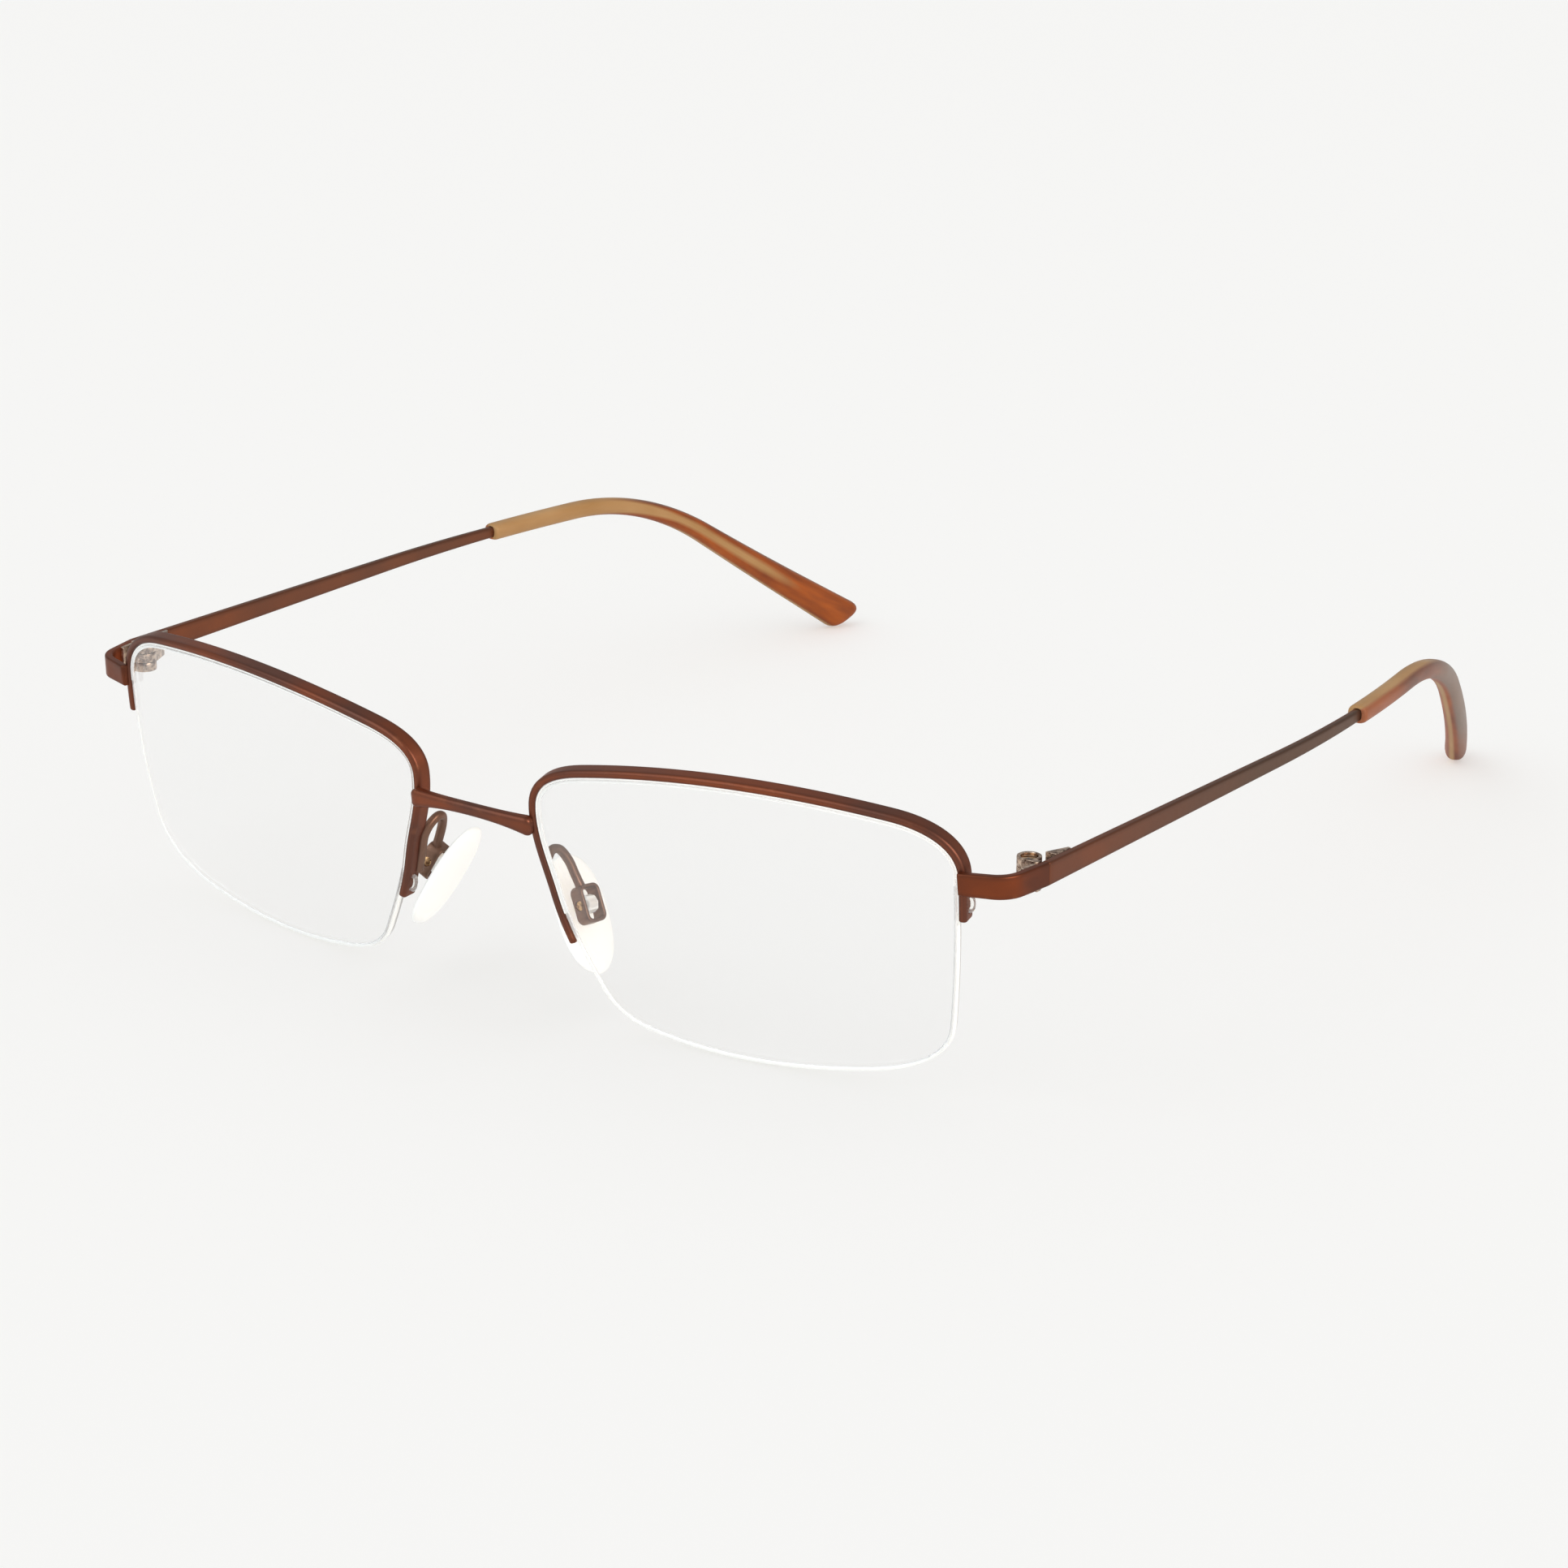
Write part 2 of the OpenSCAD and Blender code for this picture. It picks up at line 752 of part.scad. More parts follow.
on_eye() rim();  // rim_left
on_right() on_eye() rim();  // rim_right
bridge();
endpiece();  // endpiece_left
on_right() endpiece();  // endpiece_right
on_eye() lens();  // lens_left
on_right() on_eye() lens();  // lens_right
on_eye() liner();  // liner_left
on_right() on_eye() liner();  // liner_right
on_eye() nylon_cord();  // nylon_cord_left
on_right() on_eye() nylon_cord();  // nylon_cord_right
pad_arm();  // pad_arm_left
on_right() pad_arm();  // pad_arm_right
pad_screw();  // pad_screw_left
on_right() pad_screw();  // pad_screw_right
nose_pad();  // nose_pad_left
on_right() nose_pad();  // nose_pad_right
pad_core();  // pad_core_left
on_right() pad_core();  // pad_core_right
hinge_front();  // hinge_front_left
on_right() hinge_front();  // hinge_front_right
hinge_rear();  // hinge_rear_left
on_right() hinge_rear();  // hinge_rear_right
hinge_screw();  // hinge_screw_left
on_right() hinge_screw();  // hinge_screw_right
temple();  // temple_left
on_right() temple();  // temple_right
temple_tip();  // temple_tip_left
on_right() temple_tip();  // temple_tip_right
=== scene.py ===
"""Looks of the half rim eyeglasses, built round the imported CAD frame.

Shapes are made in millimetres, and in_metres() turns them into Blender's metres. Paired shapes are made for
the left side, on +X, and mirrored for the right.
"""

import math

import bmesh
import bpy
import numpy as np
from mathutils import Matrix, Vector


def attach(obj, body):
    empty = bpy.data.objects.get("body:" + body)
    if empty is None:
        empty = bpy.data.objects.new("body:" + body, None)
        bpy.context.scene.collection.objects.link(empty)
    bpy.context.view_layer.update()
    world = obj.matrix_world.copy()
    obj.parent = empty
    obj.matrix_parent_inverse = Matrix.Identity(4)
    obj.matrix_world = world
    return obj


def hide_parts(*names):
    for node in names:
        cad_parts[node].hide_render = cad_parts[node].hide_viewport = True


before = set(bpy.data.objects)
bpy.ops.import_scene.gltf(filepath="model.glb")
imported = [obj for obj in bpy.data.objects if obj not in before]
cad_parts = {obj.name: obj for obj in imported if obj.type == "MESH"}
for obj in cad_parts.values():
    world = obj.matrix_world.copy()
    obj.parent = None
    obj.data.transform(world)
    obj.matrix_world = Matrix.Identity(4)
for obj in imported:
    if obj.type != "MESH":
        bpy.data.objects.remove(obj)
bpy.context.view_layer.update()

# ---- Sizes, the same as the CAD source's ----

# The front's place, its lean and the wrap of each lens
FRONT_Y, FRONT_Z, TILT, WRAP = -73.1, 16.8, math.radians(8.1), math.radians(8.5)
# Radius of the lenses' base curve
BASE = 132.0
# Edge of the nose gap, middle and outer edge of a lens, sideways
NOSE_X, EYE_X, SIDE_X = 9.0, 35.5, 62.0
# Thickness of a lens, and height and depth of the rim wire
LENS_T, RIM_H, RIM_D = 1.5, 0.9, 2.0
MID = LENS_T / 2
# Places along the outline, 9 to a turn: the rim's ends, and the cord's holes, the outermost first
RIM_FROM, RIM_TO = 8.73, 13.49
TEMPLE_HOLES, NOSE_HOLES = (8.79, 8.885), (13.40, 13.25)
# Radius of the holes and of the cord, and how far outwards of the outline the cord runs
HOLE_R, CORD_R, CORD_OUT = 0.36, 0.3, -0.42
# Joins of the outline's nine curves: across, up and heading in degrees
JOINS = [
    (26.4, 9.6, 90), (18.8, 15.8, 170), (-19.8, 15.2, 192), (-26.4, 10.3, 266), (-24.2, -0.2, 283),
    (-19.4, -11.9, 298), (-13.7, -16.0, 348), (14.5, -16.2, 8), (25.0, -9.1, 81),
]
# Seam between endpiece and temple, and the hinge pin
SEAM = np.array([SIDE_X + 5.7, FRONT_Y + 12.9, FRONT_Z + 10.4])
SEAM_GAP = 0.06
PIN = np.array([SIDE_X + 3.25, FRONT_Y + 13.4, FRONT_Z + 10.1])
STRAP_THICK, STRAP_TALL = 1.0, 2.75
# Temple: straight length, bend, whole length, start of the tip, sideways bow, droop and splay
STRAIGHT, BEND_R, BEND_A, LENGTH, TIP_START = 88.0, 42.0, math.radians(35), 142.5, 71.5
BOW_START, BOW_R = 50, 225
DROOP, SPLAY = math.radians(0.87), math.radians(0.92)
# Nose pad: its middle and turns, and the box that holds it
PAD_CENTRE = np.array([NOSE_X + 1.3, 4.2, -5.4])
PAD_LEAN, PAD_SLANT = math.radians(-16.1), math.radians(-28.7)
BOX_CENTRE, BOX_SIZE = np.array([2.3, -0.5, 0.8]), np.array([1.9, 3.0, 4.5])
SIDES = (("left", 1.0), ("right", -1.0))


def unit(v):
    v = np.asarray(v, float)
    return v / np.linalg.norm(v)


def round_angles(count):
    return [2 * math.pi * k / count for k in range(count)]


# ---- Curves of the lens outline ----


def arc_controls(i):
    """Control points of the cubic that stands for arc i."""
    a, b = JOINS[i], JOINS[(i + 1) % len(JOINS)]
    start, end = np.array(a[:2]), np.array(b[:2])
    angle = math.radians(abs((b[2] - a[2] + 540) % 360 - 180))
    chord = np.linalg.norm(end - start)
    reach = chord / 3 if angle < 0.002 else chord * 2 / 3 * math.tan(angle / 4) / math.sin(angle / 2)
    da, db = math.radians(a[2]), math.radians(b[2])
    return [
        start, start + reach * np.array([math.cos(da), math.sin(da)]),
        end - reach * np.array([math.cos(db), math.sin(db)]), end,
    ]


CONTROLS = [arc_controls(i) for i in range(len(JOINS))]


def outline(t):
    """The outline's point and direction of travel at t."""
    c, s = CONTROLS[int(math.floor(t)) % len(CONTROLS)], t - math.floor(t)
    r = 1 - s
    p = r ** 3 * c[0] + 3 * r * r * s * c[1] + 3 * r * s * s * c[2] + s ** 3 * c[3]
    d = r * r * (c[1] - c[0]) + 2 * r * s * (c[2] - c[1]) + s * s * (c[3] - c[2])
    return p, unit(d)


def outwards(t):
    """The outline's point and the direction away from the lens at t."""
    p, d = outline(t)
    return p, np.array([d[1], -d[0]])


def edge(t, distance):
    p, out = outwards(t)
    return p + distance * out


def on_lens(p, depth):
    """A point of the outline's plane, brought onto the base curve."""
    return np.array([p[0], BASE - math.sqrt(BASE * BASE - p @ p) + depth, p[1]])


def stations(start, end, count):
    """Places along the outline, closer together round its tight corners by walking its real length."""
    fine = np.linspace(start, end, count * 12)
    points = np.array([outline(t)[0] for t in fine])
    heading = np.unwrap([math.atan2(outline(t)[1][1], outline(t)[1][0]) for t in fine])
    weight = np.linalg.norm(np.diff(points, axis=0), axis=1) / 100 + np.abs(np.diff(heading)) / 4
    walked = np.concatenate([[0], np.cumsum(weight)])
    return np.interp(np.linspace(0, walked[-1], count), walked, fine)


# ---- Frames of reference ----


def turn_x(v, a):
    v = np.asarray(v, float)
    return np.stack([v[..., 0], v[..., 1] * math.cos(a) - v[..., 2] * math.sin(a),
                     v[..., 1] * math.sin(a) + v[..., 2] * math.cos(a)], -1)


def turn_y(v, a):
    v = np.asarray(v, float)
    return np.stack([v[..., 0] * math.cos(a) + v[..., 2] * math.sin(a), v[..., 1],
                     v[..., 2] * math.cos(a) - v[..., 0] * math.sin(a)], -1)


def turn_z(v, a):
    v = np.asarray(v, float)
    return np.stack([v[..., 0] * math.cos(a) - v[..., 1] * math.sin(a),
                     v[..., 0] * math.sin(a) + v[..., 1] * math.cos(a), v[..., 2]], -1)


def from_front(v):
    return turn_x(v, TILT) + np.array([0, FRONT_Y, FRONT_Z])


def from_eye(v):
    return from_front(turn_z(v, WRAP) + np.array([EYE_X, 0, 0]))


def from_pad(v):
    return from_front(turn_y(turn_x(v, PAD_LEAN), PAD_SLANT) + PAD_CENTRE)


def from_pin(v):
    return np.asarray(v, float) + PIN


def as_is(v):
    return np.asarray(v, float)


# ---- Mesh building ----


def in_metres(verts, side):
    verts = np.asarray(verts, float) * 0.001
    verts[:, 0] *= side
    return verts


def add_object(name, data):
    made = bpy.data.objects.new(name, data)
    bpy.context.scene.collection.objects.link(made)
    return made


def closed_mesh(name, verts, faces):
    """A mesh with its faces turned outwards, from points in metres."""
    mesh = bpy.data.meshes.new(name)
    mesh.from_pydata(verts.tolist(), [], [list(f) for f in faces])
    bm = bmesh.new()
    bm.from_mesh(mesh)
    bmesh.ops.recalc_face_normals(bm, faces=bm.faces)
    bm.to_mesh(mesh)
    bm.free()
    return mesh


def put(name, verts, faces, body, material, side=1.0, replaces=(), tags=None, sharp=40, second=None):
    """One closed piece on a CAD body. tags: values for its points. second: (material, its face numbers)."""
    mesh = closed_mesh(name, in_metres(verts, side), faces)
    for key, values in (tags or {}).items():
        kind, field = ("FLOAT", "value") if np.ndim(values) == 1 else ("FLOAT_VECTOR", "vector")
        data = mesh.attributes.new(key, kind, "POINT").data
        data.foreach_set(field, np.asarray(values, np.float32).ravel())
    mesh.shade_smooth()
    mesh.set_sharp_from_angle(angle=math.radians(sharp))
    piece = add_object(name, mesh)
    mesh.materials.append(material)
    if second:
        mesh.materials.append(second[0])
        for i in second[1]:
            mesh.polygons[i].material_index = 1
    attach(piece, body)
    if replaces:
        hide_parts(*replaces)
    return piece


def loft(rings, start_point=None, end_point=None, closed=False):
    """Points and faces of a skin over rings. The ends close to a point, or with one face."""
    rings = np.asarray(rings, float)
    m, n = rings.shape[:2]
    faces = []
    for j in range(m if closed else m - 1):
        a, b = j * n, (j + 1) % m * n
        for i in range(n):
            k = (i + 1) % n
            faces.append((a + i, a + k, b + k, b + i))
    verts = rings.reshape(-1, 3)
    if not closed:
        for ring, point, first in ((rings[0], start_point, 0), (rings[-1], end_point, (m - 1) * n)):
            if point is None:
                faces.append([first + i for i in range(n)])
            else:
                verts = np.vstack([verts, point])
                faces += [(first + i, first + (i + 1) % n, len(verts) - 1) for i in range(n)]
    return verts, faces


def bar(across, up, radius, corner=5, flat=1):
    """A rounded bar's section, with edge = 1 on its corners for worn paint and painted shade: [(across, up,
    edge)].
    """
    half = (across / 2 - radius, up / 2 - radius)
    spots = [(1, 1, 0), (-1, 1, 90), (-1, -1, 180), (1, -1, 270)]

    def on_corner(sx, sy, degrees):
        a = math.radians(degrees)
        return sx * half[0] + radius * math.cos(a), sy * half[1] + radius * math.sin(a)

    out = []
    for q, (sx, sy, start) in enumerate(spots):
        out += [on_corner(sx, sy, start + 90 * k / corner) + (1.0,) for k in range(corner + 1)]
        x0, y0 = out[-1][:2]
        x1, y1 = on_corner(*spots[(q + 1) % 4])
        for k in range(1, flat + 1):
            share = k / (flat + 1)
            out.append((x0 + (x1 - x0) * share, y0 + (y1 - y0) * share, 0.0))
    return np.array(out)


def smooth_path(points, steps):
    """A curve through points, steps to a span."""
    p = [np.asarray(q, float) for q in points]
    out = []
    for i in range(len(p) - 1):
        before, after, a, b = p[max(i - 1, 0)], p[min(i + 2, len(p) - 1)], p[i], p[i + 1]
        for k in range(steps):
            s = k / steps
            out.append(0.5 * (2 * a + (b - before) * s + (2 * before - 5 * a + 4 * b - after) * s * s
                              + (3 * a - before - 3 * b + after) * s ** 3))
    return np.array(out + [p[-1]])


def travel(path, i):
    """The path's direction at its point i."""
    return unit(path[min(i + 1, len(path) - 1)] - path[max(i - 1, 0)])


def cut(piece, side, *shapes):
    """Takes closed shapes out of a piece."""
    for verts, faces in shapes:
        cutter = add_object("cutter", closed_mesh("cutter", in_metres(verts, side), faces))
        modifier = piece.modifiers.new("cut", "BOOLEAN")
        modifier.operation, modifier.solver, modifier.object = "DIFFERENCE", "EXACT", cutter
        bpy.context.view_layer.update()
        seen = piece.evaluated_get(bpy.context.evaluated_depsgraph_get())
        made = bpy.data.meshes.new_from_object(seen)
        piece.modifiers.clear()
        old, piece.data = piece.data, made
        bpy.data.objects.remove(cutter)
        bpy.data.meshes.remove(old)
    piece.data.set_sharp_from_angle(angle=math.radians(40))
    return piece


def rod(start, end, radius, count=24):
    """A plain round rod, as a cutter."""
    start, end = np.asarray(start, float), np.asarray(end, float)
    along = unit(end - start)
    side = unit(np.cross(along, [0.3, 0.2, 0.9]))
    up = np.cross(along, side)
    round_it = [radius * (math.cos(a) * side + math.sin(a) * up) for a in round_angles(count)]
    return loft([[centre + r for r in round_it] for centre in (start, end)])


def lathe(profile, count=64, place=as_is):
    """A closed profile [(radius, height)] turned round the z axis."""
    rings = [[(r * math.cos(a), r * math.sin(a), z) for r, z in profile] for a in round_angles(count)]
    verts, faces = loft(rings, closed=True)
    return place(verts), faces


def bevelled_ring(inner, outer, low, high, bevel):
    """Profile of a thick ring, for lathe()."""
    nick = 0.3 * bevel
    return [
        (inner, low + bevel), (inner + bevel, low), (outer - bevel, low), (outer - nick, low + nick),
        (outer, low + bevel), (outer, high - bevel), (outer - nick, high - nick), (outer - bevel, high),
        (inner + bevel, high), (inner, high - bevel),
    ]


def slab(points, low, high, bevel, place=as_is):
    """A polygon in x and y, thickened from low to high, its edges bevelled."""
    bm = bmesh.new()
    base = [bm.verts.new((x, y, low)) for x, y in points]
    face = bm.faces.new(base)
    top = bmesh.ops.extrude_face_region(bm, geom=[face])
    lifted = [v for v in top["geom"] if isinstance(v, bmesh.types.BMVert)]
    bmesh.ops.translate(bm, verts=lifted, vec=(0, 0, high - low))
    bmesh.ops.recalc_face_normals(bm, faces=bm.faces)
    bmesh.ops.bevel(bm, geom=list(bm.edges), offset=bevel, segments=3, profile=0.5, affect="EDGES")
    bm.verts.index_update()
    verts = place(np.array([v.co for v in bm.verts]))
    faces = [[v.index for v in f.verts] for f in bm.faces]
    bm.free()
    return verts, faces


def joined(*shapes):
    """Several closed shapes as one list of points and faces."""
    verts, faces = [], []
    for v, f in shapes:
        faces += [[i + len(verts) for i in face] for face in f]
        verts += [tuple(p) for p in v]
    return np.array(verts), faces


# ---- Materials ----


def srgb(*screen):
    """A colour in Blender's linear values, from screen values of 11 to 255."""
    return tuple(((c / 255 + 0.055) / 1.055) ** 2.4 for c in screen) + (1.0,)


class Surface:
    """A node material with a Principled shader."""

    def __init__(self, name, colour, **values):
        self.material = bpy.data.materials.new(name)
        self.material.use_nodes = True
        self.tree = self.material.node_tree
        self.shader = self.tree.nodes["Principled BSDF"]
        self.set(self.shader, **{"Base Color": colour}, **{k.replace("_", " "): v for k, v in values.items()})
        self.place = self.tree.nodes.new("ShaderNodeTexCoord").outputs["Object"]

    @staticmethod
    def set(node, **values):
        for key, value in values.items():
            node.inputs[key].default_value = value

    def link(self, a, b):
        self.tree.links.new(a, b)

    def node(self, kind, **props):
        n = self.tree.nodes.new(kind)
        for key, value in props.items():
            setattr(n, key, value)
        return n

    def stretched(self, scale):
        mapping = self.node("ShaderNodeMapping")
        mapping.inputs["Scale"].default_value = scale
        self.link(self.place, mapping.inputs["Vector"])
        return mapping.outputs["Vector"]

    def noise(self, scale, detail=3.0, roughness=0.5, stretch=(1, 1, 1), distortion=0.0):
        n = self.node("ShaderNodeTexNoise")
        self.set(n, Scale=scale, Detail=detail, Roughness=roughness, Distortion=distortion)
        self.link(self.stretched(stretch) if stretch != (1, 1, 1) else self.place, n.inputs["Vector"])
        return n.outputs["Fac"]

    def attribute(self, name):
        return self.node("ShaderNodeAttribute", attribute_name=name).outputs["Fac"]

    def mask(self, fac, low, high):
        """0 up to low and 1 from high."""
        n = self.node("ShaderNodeValToRGB")
        for element, at in zip(n.color_ramp.elements, (low, high)):
            element.position = at
        self.link(fac, n.inputs["Fac"])
        return n.outputs["Color"]

    def spread(self, fac, low, high):
        """0 to 1 spread over low to high."""
        n = self.node("ShaderNodeMapRange")
        self.set(n, **{"To Min": low, "To Max": high})
        self.link(fac, n.inputs["Value"])
        return n.outputs["Result"]

    def maths(self, kind, a, b):
        n = self.node("ShaderNodeMath", operation=kind, use_clamp=True)
        for i, v in enumerate((a, b)):
            if isinstance(v, (int, float)):
                n.inputs[i].default_value = v
            else:
                self.link(v, n.inputs[i])
        return n.outputs[0]

    def mix(self, fac, a, b):
        n = self.node("ShaderNodeMix", data_type="RGBA")
        for socket, v in ((n.inputs[0], fac), (n.inputs[6], a), (n.inputs[7], b)):
            if isinstance(v, bpy.types.NodeSocket):
                self.link(v, socket)
            else:
                socket.default_value = v
        return n.outputs[2]

    def bump(self, height, strength, distance):
        n = self.node("ShaderNodeBump")
        self.set(n, Strength=strength, Distance=distance)
        self.link(height, n.inputs["Height"])
        self.link(n.outputs["Normal"], self.shader.inputs["Normal"])

    def colour(self, output):
        self.link(output, self.shader.inputs["Base Color"])

    def rough(self, output):
        self.link(output, self.shader.inputs["Roughness"])


def paint(name, main, warm, dark, worn, painted_reflection_tone=None):
    """Satin metallic paint: copper flake in brown, worn along its edges and darkened there as painted shade.

    The last colour is a painted reflection: the paint takes it on where the attribute along rises.
    """
    s = Surface(name, main, Metallic=0.75, Roughness=0.4, Coat_Weight=0.15, Coat_Roughness=0.4,
                Specular_Tint=(0.8, 0.76, 0.74, 1))
    flake = s.noise(5200, 2, 0.6)
    cloud = s.mask(s.noise(90, 3, 0.5), 0.38, 0.66)
    base = s.mix(cloud, main, warm)
    if painted_reflection_tone:
        # Painted reflection: the paint shifts to the last colour rearwards, most on the temple's outer face.
        wander = s.spread(s.noise(140, 2, 0.5), -0.1, 0.1)
        base = s.mix(s.maths("ADD", s.attribute("along"), wander), base, painted_reflection_tone)
    base = s.mix(s.spread(flake, 0.0, 0.16), base, dark)
    # edge marks the rounded edges: darkened there as painted shade, and rubbed lighter where the paint is
    # worn.
    rim = s.attribute("edge")
    base = s.mix(s.maths("MULTIPLY", rim, 0.26), base, dark)
    rub = s.mask(s.noise(420, 4, 0.6), 0.6, 0.72)
    base = s.mix(s.maths("MULTIPLY", s.maths("MULTIPLY", rim, rub), 0.2), base, worn)
    s.colour(base)
    s.rough(s.spread(s.noise(900, 3, 0.6), 0.34, 0.47))
    s.bump(flake, 0.08, 0.00002)
    return s.material


# Colours: main, warm, dark for flake specks and painted edge shade, worn, then the temple's painted
# reflection.
RIM_PAINT = paint("rim_paint", srgb(104, 60, 44), srgb(136, 66, 32), srgb(60, 42, 38), srgb(160, 100, 68))
STRAP_PAINT = paint("strap_paint", srgb(96, 46, 24), srgb(152, 68, 22), srgb(56, 36, 26), srgb(168, 98, 56))
TEMPLE_PAINT = paint("temple_paint", srgb(116, 62, 36), srgb(134, 68, 32), srgb(62, 44, 36),
                     srgb(150, 104, 78), srgb(96, 69, 52))
ARM_PAINT = paint("arm_paint", srgb(122, 92, 76), srgb(128, 86, 64), srgb(72, 54, 46), srgb(176, 138, 112))


def plated(name, main, dark, low, high):
    """Bare plated metal with fine machining lines and scattered dark pits of grime."""
    s = Surface(name, main, Metallic=1.0, Roughness=0.3)
    lines, pits = s.noise(1500, 2, 0.5, (0.25, 0.25, 6)), s.noise(1500, 5, 0.7)
    s.colour(s.mix(s.mask(pits, 0.42, 0.6), main, dark))
    s.rough(s.spread(lines, low, high))
    s.bump(s.mix(0.5, lines, pits), 0.35, 0.00005)
    return s.material


HINGE_METAL = plated("hinge_metal", srgb(206, 182, 162), srgb(110, 88, 76), 0.2, 0.42)
SCREW_METAL = plated("screw_metal", srgb(204, 166, 122), srgb(116, 84, 58), 0.18, 0.36)


def let_light_through(s, tint):
    """Light on its way to what lies behind passes straight through, as it does through thin clear glass."""
    clear = s.node("ShaderNodeBsdfTransparent")
    clear.inputs["Color"].default_value = tint
    mixer, path = s.node("ShaderNodeMixShader"), s.node("ShaderNodeLightPath")
    s.link(s.maths("ADD", path.outputs["Is Shadow Ray"], path.outputs["Is Diffuse Ray"]), mixer.inputs[0])
    s.link(s.shader.outputs[0], mixer.inputs[1])
    s.link(clear.outputs[0], mixer.inputs[2])
    s.link(mixer.outputs[0], s.tree.nodes["Material Output"].inputs["Surface"])


def lens_glass():
    """Clear lens: hard coat, a trace of haze."""
    s = Surface("lens_glass", (0.975, 0.976, 0.976, 1), Roughness=0.0, IOR=1.5, Transmission_Weight=1.0)
    s.rough(s.spread(s.noise(60, 2, 0.5), 0.0, 0.012))
    let_light_through(s, (0.96, 0.96, 0.96, 1))
    return s.material


def clear_plastic(name, colour, low, high, through, milk=0.0, clearer=None):
    """Fine-grained clear or milky plastic. clearer names the attribute that marks its clearest stretch."""
    s = Surface(name, colour, Roughness=0.2, IOR=1.45, Transmission_Weight=through, Subsurface_Weight=milk,
                Subsurface_Scale=0.0008, Subsurface_Radius=(1, 1, 0.9))
    if clearer:
        s.link(s.spread(s.attribute(clearer), through, 0.9), s.shader.inputs["Transmission Weight"])
    grain = s.noise(1400, 3, 0.6)
    s.rough(s.spread(grain, low, high))
    s.bump(grain, 0.15, 0.00004)
    let_light_through(s, (0.93, 0.93, 0.91, 1))
    return s.material


LENS = lens_glass()
GROUND_EDGE = clear_plastic("lens_ground_edge", (0.99, 0.99, 0.985, 1), 0.3, 0.5, 0.55)
NYLON = clear_plastic("nylon", (1.0, 1.0, 0.97, 1), 0.12, 0.3, 0.15, 0.4, "loop")
LINER = clear_plastic("liner", (1.0, 1.0, 0.98, 1), 0.3, 0.5, 0.08)
CORE = clear_plastic("pad_core_clear", (0.99, 0.99, 0.97, 1), 0.05, 0.25, 0.4)


def silicone():
    """Milky soft silicone."""
    s = Surface("silicone", (1.0, 1.0, 0.97, 1), Roughness=0.35, IOR=1.41, Subsurface_Weight=0.5,
                Subsurface_Scale=0.0015, Subsurface_Radius=(1, 1, 0.9), Sheen_Weight=0.25,
                Sheen_Roughness=0.4)
    s.colour(s.mix(s.spread(s.noise(260, 3, 0.5), 0.0, 1.0), (0.99, 1.0, 0.965, 1), (0.97, 0.98, 0.93, 1)))
    grain = s.noise(1700, 3, 0.6)
    s.rough(s.spread(grain, 0.28, 0.45))
    s.bump(grain, 0.1, 0.00004)
    let_light_through(s, (0.7, 0.7, 0.68, 1))
    return s.material


SILICONE = silicone()


def acetate():
    """Mottled amber acetate with a pale translucent layer laminated in it, blurred where the two meet."""
    s = Surface("acetate", srgb(160, 104, 62), Roughness=0.42, IOR=1.48, Specular_IOR_Level=0.25,
                Subsurface_Weight=0.15, Subsurface_Scale=0.001, Subsurface_Radius=(1.0, 0.7, 0.5))
    s.place = s.node("ShaderNodeAttribute", attribute_name="layout").outputs["Vector"]
    wander = s.spread(s.noise(110, 3, 0.5), -0.3, 0.3)
    pale = s.mask(s.maths("ADD", s.attribute("pale"), wander), 0.2, 0.78)
    cloud = s.noise(170, 4, 0.55, distortion=0.6)
    amber = s.mix(s.mask(cloud, 0.36, 0.62), srgb(110, 50, 18), srgb(156, 78, 24))
    amber = s.mix(s.mask(s.noise(330, 2, 0.5), 0.5, 0.8), amber, srgb(90, 44, 26))
    tan = s.mix(s.mask(s.noise(210, 3, 0.5), 0.34, 0.66), srgb(174, 136, 92), srgb(156, 116, 70))
    # Where pale is low the amber shows; low on the outer face before the bend it is partly painted shade.
    base = s.mix(pale, amber, tan)
    # Greyer where this attribute rises: a little on the outer face, and after the bend on the outer face and
    # top.
    base = s.mix(s.maths("MULTIPLY", s.attribute("grey_share"), 0.85), base, srgb(124, 112, 102))
    s.colour(base)
    s.rough(s.spread(s.noise(500, 3, 0.6), 0.36, 0.52))
    s.bump(s.noise(700, 3, 0.6), 0.06, 0.00006)
    return s.material


ACETATE = acetate()

# ---- Rim, liner, cord and lens ----

CHANNEL_DEEP, CHANNEL_WIDE = 0.42, 0.76
RIM_CORNER = 0.36


def rim_section():
    """[(out, depth, edge)] round the rim wire, with the liner's channel in its inner face."""
    low, high = MID - CHANNEL_WIDE / 2, MID + CHANNEL_WIDE / 2
    channel = [(0.0, high, 1), (CHANNEL_DEEP, high, 0), (CHANNEL_DEEP, low, 0), (0.0, low, 1)]
    points = [(x + RIM_H / 2, y + MID, e) for x, y, e in bar(RIM_H, RIM_D, RIM_CORNER, 7, 3)]
    inner_flat = RIM_D / 2 - RIM_CORNER - 0.01
    outer = [p for p in points if not (abs(p[0]) < 0.02 and abs(p[1] - MID) < inner_flat)]
    turned = sorted((math.atan2(p[1] - MID, p[0] - RIM_H / 2), p) for p in outer)
    return np.array([p for _, p in turned] + channel)


def along_outline(ts, section, scales, middle):
    """The section at each place along the outline, scaled about its middle, and its edge tags."""
    rings = []
    for t, scale in zip(ts, scales):
        p, out = outwards(t)
        scaled = middle + scale * (section[:, :2] - middle)
        rings.append([on_lens(p + across * out, depth) for across, depth in scaled])
    return np.array(rings), np.tile(section[:, 2], len(rings))


